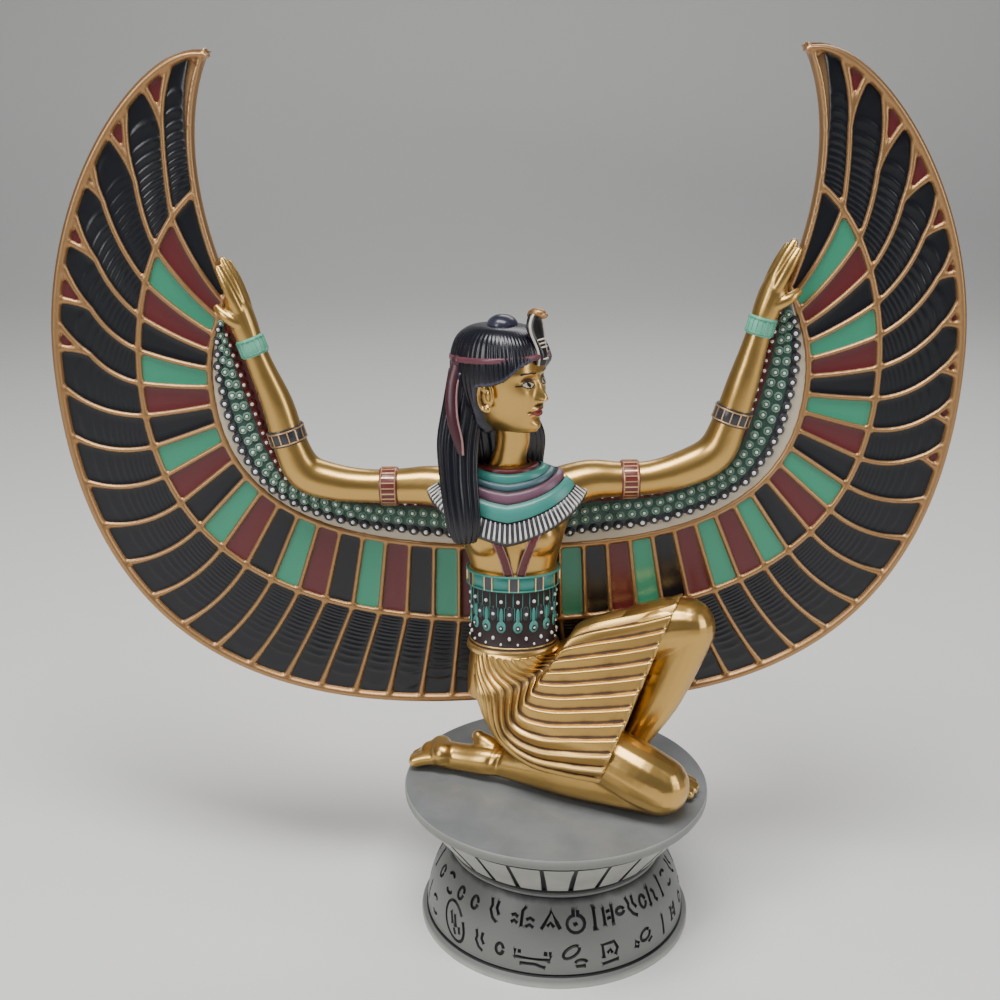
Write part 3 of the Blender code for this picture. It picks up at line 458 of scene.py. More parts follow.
# the hair's blue-grey edge colour is a painted highlight on the raised strands
hairBlack = agedMaterial("hairBlack", (0.0045, 0.0045, 0.009), (0.0012, 0.0012, 0.002), (0.06, 0.06, 0.10),
                         roughness=0.27, washRough=0.45, low=0.0, high=0.1, bump=0.1)
stoneGrey = agedMaterial("stoneGrey", colours["stone"], colours["stoneWash"], colours["stoneWearHighlight"],
                         roughness=0.42, washRough=0.6, low=0.02, high=0.1, mottle=90, grain=900, bump=0.35)
# the disc top's darker grey is partly its own bluish tint and partly painted shade that offsets the strong
# overhead light
discGreyAndShade = agedMaterial("discGreyAndShade", colours["disc"], colours["stoneWash"], (0.17, 0.18, 0.18), roughness=0.36,
                        washRough=0.6, low=0.02, high=0.1, mottle=70, grain=900, bump=0.3)
markBlack = agedMaterial("markBlack", (0.006, 0.006, 0.007), (0.002, 0.002, 0.002), (0.05, 0.05, 0.05),
                         roughness=0.5, bump=0.3)
print("materials ready")


# wings

wings = {
    "axisX": -15.85, "roll": math.radians(0.6), "frontY": 18.0, "floorY": 19.0, "backY": 22.7,
    "plateGap": 0.5, "rootTop": 106.0, "rimWidth": 3.9, "innerRimWidth": 2.9, "wall": 2.0, "crossWall": 2.5,
    "knot": (1.55, 1.15, 1.55), "voxel": 0.54, "soften": 4,
    # the ball that closes the rim at the tip: shift in the wing plane, lean and half sizes
    "tipShift": (1.4, -3.0), "tipLean": math.radians(24), "tipBall": (3.0, 1.4, 1.3),
    # guide curves, across from the wing axis and up from the seat, as Bezier handles
    "outerRim": [(0, 22.5), (18, 22.5), (159, 0), (159, 151.5), (159, 212.5), (117, 262), (96.5, 255)],
    "featherLine": [(0, 54.5), (84, 54.5), (129, 83), (129, 147), (129, 170), (122, 197), (104.5, 210.5)],
    "beadWall": [(0, 83), (60, 83), (104.5, 95), (104.5, 146), (104.5, 156), (102, 164), (95.5, 178)],
    "innerRim": [(95.5, 178), (108, 212), (105, 240), (96.5, 255)],
    # widths of the first feather and the last, from the wing tip to the body
    "outerSpread": (20.5, 10.5), "lineSpread": (11.8, 9.0), "beadSpread": (5.0, 8.4),
    "bow": 0.10, "ribPitch": (3.2, 2.2), "ribHeight": 0.5,
}
rightWing = {
    "name": "right", "side": -1, "feathers": 23, "coverts": "KRGRKGRKGRKGRKGRKGRKGRK",
    "forkWidths": [11.5, 10.2, 6.2, 9.6, 12.0, 8.6], "forkStarts": [0.62, 0.53, 0.76, 0.64, 0.62, 0.62],
    "ribbed": [1, 1, 0.5, 0.8, 0.4, 0.4, 0.3, 0.3, 0.3, 0.3, 0.3, 0.4, 0.45, 0.4, 0.5, 0.7, 0.9, 1, 1, 1, 1,
               1, 1],
}
leftWing = {
    "name": "left", "side": 1, "feathers": 24, "coverts": "KGRKGRKGRKGRKGRGRKGRKGRK",
    "forkWidths": [10.4, 12.0, 13.6, 10.4, 8.4, 8.2, 8.2, 8.2, 8.8],
    "forkStarts": [0.58, 0.53, 0.62, 0.72, 0.78, 0.79, 0.79, 0.78, 0.75],
    "ribbed": [1, 1, 1, 1, 0.9, 0.7, 0.5, 0.4, 0.4, 0.3, 0.3, 0.4, 0.4, 0.6, 0.7, 0.8, 0.9, 1, 1, 1, 1, 1,
               1, 1],
}

arms = {
    "right": [(-32, 11, 106, 8), (-44, 13, 108, 7.2), (-56, 13.6, 107.7, 6.3), (-68, 13.8, 107.7, 6.1),
              (-80, 13.8, 109.2, 6.7), (-89.5, 13.8, 113.2, 6.9), (-94.3, 13.6, 124, 6.1),
              (-97.8, 13.4, 137.3, 5.6), (-102.6, 13.4, 150, 4.6), (-105.8, 13.4, 159, 4.1)],
    "left": [(-1, 11, 107, 8), (11, 13, 110.2, 7.2), (22, 13.6, 110.2, 6.3), (33, 13.8, 110.8, 6.1),
             (45, 13.8, 114.2, 6.7), (55, 13.8, 120, 6.9), (59.6, 13.6, 131, 6.1),
             (63.3, 13.4, 144.4, 5.6), (66.6, 13.4, 157, 4.6), (68.8, 13.4, 166, 4.1)],
    "rightPalm": [(-108.2, 13.6, 166), (-110.4, 14.4, 174)],
    "leftPalm": [(71, 13.6, 172.5), (73.4, 14.4, 180)],
}


def bezier(handles, t):
    pieces = (len(handles) - 1) // 3
    i = min(int(t * pieces), pieces - 1)
    f = t * pieces - i
    weights = ((1 - f) ** 3, 3 * (1 - f) ** 2 * f, 3 * (1 - f) * f * f, f ** 3)
    return Vector([sum(w * handles[3 * i + k][axis] for k, w in enumerate(weights)) for axis in (0, 1)])


def lineLengths(line):
    run = [0.0]
    for a, b in zip(line, line[1:]):
        run.append(run[-1] + (b - a).length)
    return run


def onLine(line, run, share):
    reach = min(max(share, 0.0), 1.0) * run[-1]
    low, high = 0, len(run) - 1
    while high - low > 1:
        middle = (low + high) // 2
        if run[middle] > reach:
            high = middle
        else:
            low = middle
    return line[low].lerp(line[high], (reach - run[low]) / max(run[high] - run[low], 1e-9))


def resample(line, count):
    run = lineLengths(line)
    return [onLine(line, run, k / (count - 1)) for k in range(count)]


class Curve:
    # a guide curve read by its share of length, from its last handle back to its first
    def __init__(self, line):
        self.line = line
        self.run = lineLengths(line)

    def at(self, share):
        return onLine(self.line, self.run, share)

    def ahead(self, share):
        return (self.at(share + 0.004) - self.at(share - 0.004)).normalized()

    def part(self, first, last, count):
        return [self.at(first + (last - first) * k / (count - 1)) for k in range(count)]


def guide(handles):
    return Curve([bezier(handles, 1 - k / 200) for k in range(201)])


def spreadShares(widths, count):
    first, last = widths
    sizes = [first + (last - first) * i / (count - 1) for i in range(count)]
    total = sum(sizes)
    return [sum(sizes[:i]) / total for i in range(count + 1)]


def bowLine(start, end, bow, count):
    middle = (start + end) / 2 + Vector(((end - start).y, -(end - start).x)) * bow * 2
    points = []
    for k in range(count):
        t = k / (count - 1)
        points.append(start * (1 - t) ** 2 + middle * 2 * t * (1 - t) + end * t * t)
    return points


def wingSpot(side, point, y):
    across = side * point.x
    turn = wings["roll"]
    x = wings["axisX"] + across * math.cos(turn) - point.y * math.sin(turn)
    return spot(x, y, point.y * math.cos(turn) + across * math.sin(turn))


def addRidge(bm, side, line, width, top, bottom, sides=10, taper=None):
    # a rounded wall along a line of the wing plane
    rings = []
    for i, point in enumerate(line):
        ahead = (line[min(i + 1, len(line) - 1)] - line[max(i - 1, 0)]).normalized()
        out = Vector((ahead.y, -ahead.x))
        grow = taper[i] if taper else 1.0
        ring = []
        for a in circleTurns(sides):
            flat = point + out * (math.cos(a) * width * grow / 2)
            depth = bottom - math.sin(a) * (bottom - top) * (1 if math.sin(a) > 0 else 0.9)
            ring.append(wingSpot(side, flat, depth))
        rings.append(ring)
    growRings(bm, rings)


def layOutWing(wing):
    # the lines of one wing: walls, forks and the two sides of every cell
    count = wing["feathers"]
    side = wing["side"]
    outer, line, bead = guide(wings["outerRim"]), guide(wings["featherLine"]), guide(wings["beadWall"])
    inner = Curve([bezier(wings["innerRim"], k / 60) for k in range(61)])
    outerShares = spreadShares(wings["outerSpread"], count)
    lineShares = spreadShares(wings["lineSpread"], count)
    beadShares = spreadShares(wings["beadSpread"], count)
    inset = wings["rimWidth"] * 0.72
    arm = arms[wing["name"]] + [(*palm, 4) for palm in arms[wing["name"] + "Palm"]]
    root = []
    for x, y, z, radius in reversed(arm):
        across = (x - wings["axisX"]) * side
        root.append(Vector((across, z - side * across * math.sin(wings["roll"]))))
    root.append(Vector((0, wings["rootTop"])))
    root = Curve(resample(root, 120))

    def rimPoint(share):
        run = outer.ahead(share)
        return outer.at(share) + Vector((run.y, -run.x)) * inset

    walls = []
    for i in range(1, count):
        start = line.at(lineShares[i])
        share = outerShares[i]
        bow = wings["bow"] * max(0.0, math.sin(math.pi * min(1.0, i / (count * 0.72))))
        if i <= len(wing["forkWidths"]):
            half = wing["forkWidths"][i - 1] / 2 / outer.run[-1]
            low, high = rimPoint(share + half), rimPoint(share - half)
            split = start.lerp((low + high) / 2, wing["forkStarts"][i - 1])
            trunk = bowLine(start, split, bow, 14)
            lean = (split - start).normalized()
            reach = (low - split).length * 0.22
            branches = [trunk[:-1] + bowLine(split, end, bend, 8)
                        for end, bend in ((high, 0.05), (low, -0.05))]
            cell = [split + lean * reach * 0.4] + [high, low]
            walls.append({"high": branches[0], "low": branches[1], "triangle": cell,
                          "highShare": share - half, "lowShare": share + half})
        else:
            path = bowLine(start, rimPoint(share), bow, 18)
            walls.append({"high": path, "low": path, "triangle": None,
                          "highShare": share, "lowShare": share})
    coverts = []
    for i in range(count + 1):
        bow = 0.05 * max(0.0, 1 - i / 9)
        coverts.append(bowLine(bead.at(beadShares[i]), line.at(lineShares[i]), bow, 10))
    meeting = min((k / 60 for k in range(61)), key=lambda share: (inner.at(share) - line.at(0)).length)
    return {"meeting": meeting, "outer": outer, "line": line, "bead": bead, "inner": inner, "root": root,
            "walls": walls, "coverts": coverts, "lineShares": lineShares, "beadShares": beadShares,
            "rimPoint": rimPoint}


def addCell(bm, side, nearLine, farLine, foot, head, rows, columns, dip, ribs=0.0, pitch=2.2, phase=0.0):
    # a sunk enamel patch between two side lines, a foot line and a head line
    edgeLayer = bm.verts.layers.float.get("edge") or bm.verts.layers.float.new("edge")
    near, far = Curve(nearLine), Curve(farLine)
    footLine, headLine = Curve(foot), Curve(head)
    corners = bmesh.ops.create_grid(bm, x_segments=columns, y_segments=rows, size=1)["verts"]
    a, b, c, d = near.at(0), far.at(0), near.at(1), far.at(1)
    length = (near.run[-1] + far.run[-1]) / 2
    base = (a + b) / 2
    axis = ((c + d) / 2 - base).normalized()
    for corner in corners:
        t = (corner.co.x + 1) / 2
        t = t + 0.09 * math.sin(2 * math.pi * (t - 0.5)) if columns > 4 else t
        s = (corner.co.y + 1) / 2
        flat = (near.at(s).lerp(far.at(s), t) + footLine.at(t).lerp(headLine.at(t), s)
                - a.lerp(b, t).lerp(c.lerp(d, t), s))
        width = (near.at(s) - far.at(s)).length
        inward = min(min(t, 1 - t) * width, min(s, 1 - s) * length)
        bowl = min(1.0, inward / 2.4)
        depth = dip * (1 - (1 - bowl) ** 2)
        if ribs:
            reach = (flat - base).dot(axis) * (1 - s) + s * length
            wave = (reach / pitch + 1.6 * (t - 0.45) ** 2 + phase) % 1.0
            crest = wave ** 1.6 if wave < 0.8 else 0.7 * ((1 - wave) / 0.2)
            fade = smoothStep(0.0, 0.22, t) * smoothStep(1.0, 0.7, t) * smoothStep(0.3, 1.8, inward)
            depth -= ribs * wings["ribHeight"] * crest * fade
        corner.co = wingSpot(side, flat, wings["floorY"] - 0.42 + depth)
        corner[edgeLayer] = inward


def buildWing(wing):
    side = wing["side"]
    plan = layOutWing(wing)
    count = wing["feathers"]
    top, floor = wings["frontY"] - 0.25, wings["floorY"]
    label = wing["name"] + "_wing_"

    # gold walls and rims, fused like one casting
    bm = bmesh.new()
    outerLine = []
    for k in range(150):
        share = k / 149
        run = plan["outer"].ahead(share)
        outerLine.append(plan["outer"].at(share) + Vector((run.y, -run.x)) * wings["rimWidth"] / 2)
    outerLine[-1] = Vector((0, outerLine[-1].y))
    taper = [min(1.0, 0.45 + k * 0.09) for k in range(150)]
    addRidge(bm, side, outerLine, wings["rimWidth"], top - 0.75, floor + 1.2, 12, taper)
    innerLine = []
    for k in range(60):
        share = k / 59
        run = plan["inner"].ahead(share)
        innerLine.append(plan["inner"].at(share) + Vector((run.y, -run.x)) * wings["innerRimWidth"] / 2)
    taper = [min(1.0, 0.35 + (59 - k) * 0.1) for k in range(60)]
    addRidge(bm, side, innerLine, wings["innerRimWidth"], top - 0.5, floor + 1.2, 12, taper)
    addRidge(bm, side, plan["bead"].part(0, 1, 90), wings["crossWall"], top - 0.15, floor)
    addRidge(bm, side, plan["line"].part(0, 1, 110), wings["crossWall"], top - 0.1, floor)
    for wall in plan["walls"]:
        for path in [wall["high"]] if wall["low"] is wall["high"] else [wall["high"], wall["low"]]:
            widen = [1 + 0.35 * smoothStep(0.7, 1.0, k / (len(path) - 1)) for k in range(len(path))]
            addRidge(bm, side, path, wings["wall"], top, floor, taper=widen)
    for path in plan["coverts"][1:]:
        addRidge(bm, side, path, wings["wall"], top, floor)
    for i in range(1, count):
        for share, curve in ((plan["lineShares"][i], "line"), (plan["beadShares"][i], "bead")):
            knot = plan[curve].at(share)
            place = Matrix.Translation(wingSpot(side, knot, floor))
            place = place @ Matrix.Diagonal((*(size * step for size in wings["knot"]), 1))
            bmesh.ops.create_uvsphere(bm, u_segments=12, v_segments=8, radius=1, matrix=place)
    tip = plan["outer"].at(0.006)
    place = Matrix.Translation(wingSpot(side, tip + Vector(wings["tipShift"]), floor + 0.6))
    place = place @ Matrix.Rotation(side * wings["tipLean"], 4, "Y")
    place = place @ Matrix.Diagonal((*(size * step for size in wings["tipBall"]), 1))
    bmesh.ops.create_uvsphere(bm, u_segments=16, v_segments=10, radius=1, matrix=place)
    casing = makePiece(label + "frame", bm, [wingGold], voxel=wings["voxel"], soften=wings["soften"])
    # its fused skin may not rise above the solid's top
    for corner in casing.data.vertices:
        corner.co.z = min(corner.co.z, tipCorner.z - 0.00005)

    # the plate behind, with its edge and back
    bm = bmesh.new()
    rim = plan["outer"].part(0, 1, 130)
    rim = [point + (Vector((100, 130)) - point).normalized() * 0.35 for point in rim]
    rim[-1].x = 0
    innerEdge = [point + Vector((0.5, 0)) for point in plan["inner"].part(0, 1, 30)]
    rootLine = [plan["root"].at(1 - k / 40) for k in range(1, 38)]
    outline = rim + [Vector((0, wings["rootTop"]))] + rootLine + innerEdge[1:-1]
    corners = [bm.verts.new(wingSpot(side, point, floor + wings["plateGap"])) for point in outline]
    for a, b in zip(corners, corners[1:] + corners[:1]):
        bm.edges.new((a, b))
    sheet = bmesh.ops.triangle_fill(bm, edges=bm.edges, use_beauty=True)["geom"]
    faces = [item for item in sheet if isinstance(item, bmesh.types.BMFace)]
    grown = bmesh.ops.extrude_face_region(bm, geom=faces)["geom"]
    moved = [item for item in grown if isinstance(item, bmesh.types.BMVert)]
    bmesh.ops.translate(bm, verts=moved, vec=(0, (wings["backY"] - floor - wings["plateGap"]) * step, 0))
    makePiece(label + "plate", bm, [wingGold], sharp=40)

    # enamel in the cells
    enamels = {"K": bmesh.new(), "G": bmesh.new(), "R": bmesh.new()}
    feathers = bmesh.new()
    for i in range(count):
        colour = wing["coverts"][i]
        foot = plan["bead"].part(plan["beadShares"][i], plan["beadShares"][i + 1], 6)
        head = plan["line"].part(plan["lineShares"][i], plan["lineShares"][i + 1], 6)
        addCell(enamels[colour], side, plan["coverts"][i], plan["coverts"][i + 1], foot, head, 26, 10, 0.5)
        first = innerBoundary(plan) if i == 0 else plan["walls"][i - 1]["low"]
        if i < count - 1:
            last, lastShare = plan["walls"][i]["high"], plan["walls"][i]["highShare"]
        else:
            end = Vector((0, plan["outer"].at(1).y + wings["rimWidth"]))
            last, lastShare = [plan["line"].at(1), end], 1.0
        firstShare = 0.02 if i == 0 else plan["walls"][i - 1]["lowShare"]
        rimLine = [plan["rimPoint"](firstShare + (lastShare - firstShare) * k / 7) for k in range(8)]
        tipPitch, bodyPitch = wings["ribPitch"]
        pitch = tipPitch + (bodyPitch - tipPitch) * min(1.0, i / 12)
        rows = int(Curve(last).run[-1] / pitch * 7)
        addCell(feathers, side, first, last, head, rimLine, max(rows, 30), 12, 0.45,
                wing["ribbed"][i], pitch, random.random())
    for wall in plan["walls"]:
        if wall["triangle"]:
            split, high, low = wall["triangle"]
            addCell(enamels["R"], side, [split, high], [split, low], [split, split], [high, low], 12, 8, 0.4)
    makePiece(label + "black_feathers", feathers, [blackEnamel])
    makePiece(label + "black_coverts", enamels["K"], [blackEnamel])
    makePiece(label + "green_coverts", enamels["G"], [greenEnamel])
    makePiece(label + "maroon_coverts", enamels["R"], [maroonEnamel])
    return plan


def innerBoundary(plan):
    # the side of the first feather, along the inner rim
    line = []
    for k in range(24):
        share = plan["meeting"] + (0.93 - plan["meeting"]) * k / 23
        run = plan["inner"].ahead(share)
        line.append(plan["inner"].at(share) + Vector((run.y, -run.x)) * wings["innerRimWidth"] * 0.8)
    return line


beads = {
    # rows from the arm's edge to the bead wall: share, pitch, disc radius, dot radius, colour
    "rows": [(0.11, 4.3, 1.5, 0.62, "R"), (0.32, 4.4, 1.85, 0.62, "G"), (0.50, 4.4, 1.85, 0.62, "G"),
             (0.70, 4.15, 2.0, 0.78, "K")],
    "armRadius": 6.0, "grounds": [0.22, 0.60, 0.72],
}


def buildBeads(wing, plan):
    side = wing["side"]
    label = wing["name"] + "_wing_"
    length = plan["bead"].run[-1]
    discs = {"R": bmesh.new(), "G": bmesh.new(), "K": bmesh.new()}
    dots = bmesh.new()

    def crossing(share):
        foot, head = plan["root"].at(share), plan["bead"].at(share)
        span = (head - foot).length
        edge = min(beads["armRadius"] * min(1.0, span / 9), span * 0.7) / max(span, 1e-6)
        return foot, head, edge, span

    # the ground under the beads: one ribbon per colour
    bm = bmesh.new()
    grid = bmesh.ops.create_grid(bm, x_segments=16, y_segments=120, size=1)["verts"]
    for corner in grid:
        t, s = (corner.co.x + 1) / 2, (corner.co.y + 1) / 2
        foot, head, edge, span = crossing(s)
        share = 0 if t == 0 else edge + (1 - edge) * (t - 1 / 16) / (15 / 16)
        bulge = math.sin(math.pi * min(1.0, max(0.0, (t - 0.06) / 0.80))) * min(1.0, span / 14)
        corner.co = wingSpot(side, foot.lerp(head, share), wings["frontY"] + 0.6 - 1.1 * bulge)
    bm.verts.ensure_lookup_table()
    for k, face in enumerate(bm.faces):
        t = ((k % 16) - 0.5) / 15
        face.material_index = sum(t > limit for limit in beads["grounds"])
    makePiece(label + "bead_ground", bm, [maroonPaint, beadGreen, blackPaint, creamPaint])

    for number, (level, pitch, disc, dot, colour) in enumerate(beads["rows"]):
        total = int(length * (0.97 - 0.05 * number) / pitch)
        for k in range(total):
            share = 0.075 + 0.915 * (k + 0.5 * (number % 2)) / total
            foot, head, edge, span = crossing(share)
            room = span * (1 - edge)
            if room < 4.5 and number < 2 or room < 2.6:
                continue
            size = min(1.0, room / 11)
            point = foot.lerp(head, edge + (1 - edge) * (level + random.uniform(-0.015, 0.015)))
            centre = wingSpot(side, point, wings["frontY"] - 0.55 * min(1.0, span / 14))
            tilt = Matrix.Translation(centre) @ Matrix.Rotation(math.pi / 2, 4, "X")
            ring = disc * (0.62 + 0.38 * size) * step
            made = bmesh.ops.create_cone(discs[colour], segments=12, radius1=ring, radius2=ring * 0.66,
                                         depth=1.3 * step, cap_ends=True, matrix=tilt)["verts"]
            crown = [face for face in {f for v in made for f in v.link_faces} if len(face.verts) > 6]
            crown = [face for face in crown if face.calc_center_median().y < centre.y]
            bmesh.ops.inset_region(discs[colour], faces=crown, thickness=ring * 0.2, depth=-0.35 * step)
            place = Matrix.Translation(centre + Vector((0, -0.5 * step, 0)))
            place = place @ Matrix.Diagonal((1, 0.8, 1, 1))
            bmesh.ops.create_uvsphere(dots, u_segments=8, v_segments=6, matrix=place,
                                      radius=dot * (0.7 + 0.3 * size) * random.uniform(0.88, 1.08) * step)
    for colour, name, material in (("R", "maroon", maroonPaint), ("G", "green", beadGreen),
                                   ("K", "black", blackPaint)):
        makePiece(label + name + "_beads", discs[colour], [material], sharp=50)
    makePiece(label + "bead_dots", dots, [whitePaint])


for wing in (rightWing, leftWing):
    buildBeads(wing, buildWing(wing))
print("wings ready")


# body

body = {
    # heights of the trunk up to the neck: x, y, z, half width, half depth
    "torso": [(-17, 9, 30, 15.5, 12), (-16.5, 9, 42, 15.5, 12), (-15.8, 8, 54, 14.6, 11),
              (-15.6, 8, 66, 14.3, 10.4), (-15.8, 8, 80, 15.2, 10.8), (-16.2, 8.2, 90, 18, 11.4),
              (-16.8, 9, 100, 21, 11.2), (-17.2, 10, 108, 20.5, 9), (-17.6, 9.6, 113.5, 13, 7.5),
              (-17.9, 8, 118, 6.8, 6.6), (-16.0, 6, 127, 6.1, 6.3), (-16.8, 4.5, 135, 6.4, 6.8),
              (-17.6, 3.4, 141, 6.8, 7.2)],
    "breasts": [(-25.2, 2.4, 93.5, 7.8), (-7.4, 2.4, 93.5, 7.8)],
    "voxel": 0.62, "soften": 10,
}
hands = {
    # palms, fingers and thumbs as x, y, z, radius
    "rightPalm": [(-105.4, 13.4, 157.5, 4.0), (-107.2, 13.8, 163, 4.6), (-109.2, 14.2, 169, 4.7),
                  (-110.2, 14.4, 173, 3.9)],
    "rightFingers": [
        [(-108.6, 11.8, 169, 2.3), (-110.8, 11.4, 174.6, 2.1), (-113.2, 12.0, 179.8, 1.85),
         (-115.4, 13.2, 184.0, 1.4)],
        [(-107.6, 13.6, 170, 2.3), (-109.4, 13.4, 176.0, 2.1), (-111.8, 14.0, 181.8, 1.85),
         (-114.2, 15.2, 186.6, 1.4)],
        [(-106.8, 15.4, 169, 2.2), (-108.2, 15.6, 175.0, 2.0), (-110.3, 16.2, 180.8, 1.75),
         (-112.5, 17.2, 185.4, 1.3)],
        [(-106.6, 17.0, 167, 1.9), (-107.6, 17.4, 172.6, 1.75), (-109.3, 18.0, 177.6, 1.5),
         (-111.0, 18.8, 181.6, 1.15)],
    ],
    "rightThumb": [(-108.2, 11.8, 165, 2.4), (-111.4, 11, 167.0, 2.15), (-114.2, 11.6, 169.0, 1.9),
                   (-116.4, 13.0, 170.9, 1.4)],
    "leftPalm": [(68.4, 13.4, 164.5, 4.0), (70.2, 13.8, 170, 4.7), (72.2, 14.2, 176, 4.8),
                 (73.2, 14.4, 180, 3.9)],
    "leftFingers": [
        [(72.0, 11.8, 176, 2.3), (74.6, 11.4, 181.4, 2.1), (77.2, 12.0, 186.2, 1.85),
         (79.6, 13.2, 190.2, 1.4)],
        [(70.8, 13.6, 177, 2.3), (73.0, 13.4, 182.8, 2.1), (75.8, 14.0, 188.2, 1.85),
         (78.4, 15.2, 192.6, 1.4)],
        [(70.0, 15.4, 176, 2.2), (71.8, 15.6, 181.8, 2.0), (74.2, 16.2, 187.0, 1.75),
         (76.6, 17.2, 191.2, 1.3)],
        [(69.9, 17.0, 174, 1.9), (71.2, 17.4, 179.4, 1.75), (73.0, 18.0, 184.0, 1.5),
         (75.0, 18.8, 187.6, 1.15)],
    ],
    "leftThumb": [(71.6, 11.8, 171.4, 2.4), (75.0, 11, 173.2, 2.15), (78.0, 11.6, 174.8, 1.9),
                  (80.4, 13.0, 176.4, 1.4)],
    "voxel": 0.34, "soften": 3,
}
legs = {
    "nearThigh": [(-18, 2, 28, 9), (0, -10, 23, 9.5), (17, -18.5, 18.5, 10.6), (28, -24, 14.2, 11),
                  (35, -26, 11, 10.4)],
    "nearShin": [(34, -25.5, 9.6, 9.4), (20, -20, 9, 8.8), (5, -13, 8.2, 8.4), (-10, -6, 7.2, 6.6),
                 (-21, -1, 6.6, 5.2)],
    "nearFoot": [(-20, -1.5, 6.6, 5.2), (-26, 0.6, 6.4, 5.6), (-34, 4, 5.6, 5.2), (-42, 7.4, 5.2, 5.2),
                 (-46, 9.2, 4.8, 4.6)],
    "nearHeel": [(-22.5, 2.2, 9.6, 4.2), (-26.4, 4.6, 11.6, 3.6), (-28.4, 6.2, 13.0, 2.6)],
    "nearBall": [(-41.5, 4.6, 6.6, 4.6), (-42.5, 10, 6.8, 4.4)],
    "nearToes": [[(-44, 4.6, 5.4, 2.9), (-48.6, 5.4, 4.4, 2.6), (-52.2, 5.8, 3.2, 2.4)],
                 [(-44, 8.2, 5.4, 2.5), (-49.6, 8.8, 4.0, 2.1), (-52.6, 9.0, 2.8, 1.9)],
                 [(-44, 11.4, 5.2, 2.3), (-49.4, 12, 3.8, 1.9), (-52.0, 12.2, 2.6, 1.7)],
                 [(-43, 14.2, 4.8, 2.1), (-47.8, 14.8, 3.4, 1.8), (-50.4, 15, 2.4, 1.6)]],
    # creases across the near ankle
    "creases": [[(-25.0, -6.2, 8.4), (-23.6, -4.6, 11.2), (-21.6, -1.6, 13.2)],
                [(-22.2, -6.6, 8.0), (-20.8, -5.0, 11.0), (-19.0, -2.0, 12.6)]],
    "farThigh": [(-10, 8, 36, 9), (8, 7, 43, 9.5), (26, 4, 53, 10.8), (39, 1, 59, 10.8), (46, 0, 60, 10)],
    "farShin": [(46.5, 0, 59, 9.6), (42, -1, 47, 9), (36, -2.5, 33, 8), (29, -4, 20, 6), (25, -4.5, 11, 5.2)],
    "farFoot": [(22, -4.5, 6, 5.4), (28, -6, 6, 5.4), (35, -9, 4.6, 5), (41, -11.5, 3.4, 4.6)],
    "farToes": [(46.6, -17.4, 2.6, 2.1), (48.6, -14.4, 2.5, 1.8), (49.6, -11.6, 2.5, 1.75),
                (49.6, -8.8, 2.4, 1.7), (48.6, -6.4, 2.2, 1.6)],
    "voxel": 0.5, "soften": 5,
}


def buildBody():
    bm = bmesh.new()
    growRings(bm, levelRings(body["torso"], 48, 6))
    addLimb(bm, arms["right"])
    addLimb(bm, arms["left"])
    for x, y, z, radius in body["breasts"]:
        addBall(bm, (x, y, z), (radius, radius, radius), segments=32)
    makePiece("torso_and_arms", bm, [skinGold], voxel=body["voxel"], soften=body["soften"])
    for side in ("right", "left"):
        bm = bmesh.new()
        addLimb(bm, hands[side + "Palm"])
        for finger in hands[side + "Fingers"]:
            addLimb(bm, finger, 14)
        addLimb(bm, hands[side + "Thumb"], 14)
        makePiece(side + "_hand", bm, [skinGold], voxel=hands["voxel"], soften=hands["soften"])
    bm = bmesh.new()
    for limb in ("nearThigh", "nearShin", "nearFoot", "nearHeel", "nearBall",
                 "farThigh", "farShin", "farFoot"):
        addLimb(bm, legs[limb])
    for toe in legs["nearToes"]:
        addLimb(bm, toe, 14)
    for x, y, z, radius in legs["farToes"]:
        addLimb(bm, [(x - 7, y + 1.6, z + 1.6, radius * 1.1), (x - 3, y + 0.7, z + 1.4, radius),
                     (x, y, z, radius * 0.95)], 14)
    bmesh.ops.bisect_plane(bm, geom=bm.verts[:] + bm.edges[:] + bm.faces[:], plane_co=(0, 0, seat),
                           plane_no=(0, 0, 1))
    for corner in bm.verts:
        corner.co.z = max(corner.co.z, seat + 0.0001)
    makePiece("legs", bm, [skinGold], voxel=legs["voxel"], soften=legs["soften"], dents=legs["creases"])


buildBody()
print("body ready")


# head

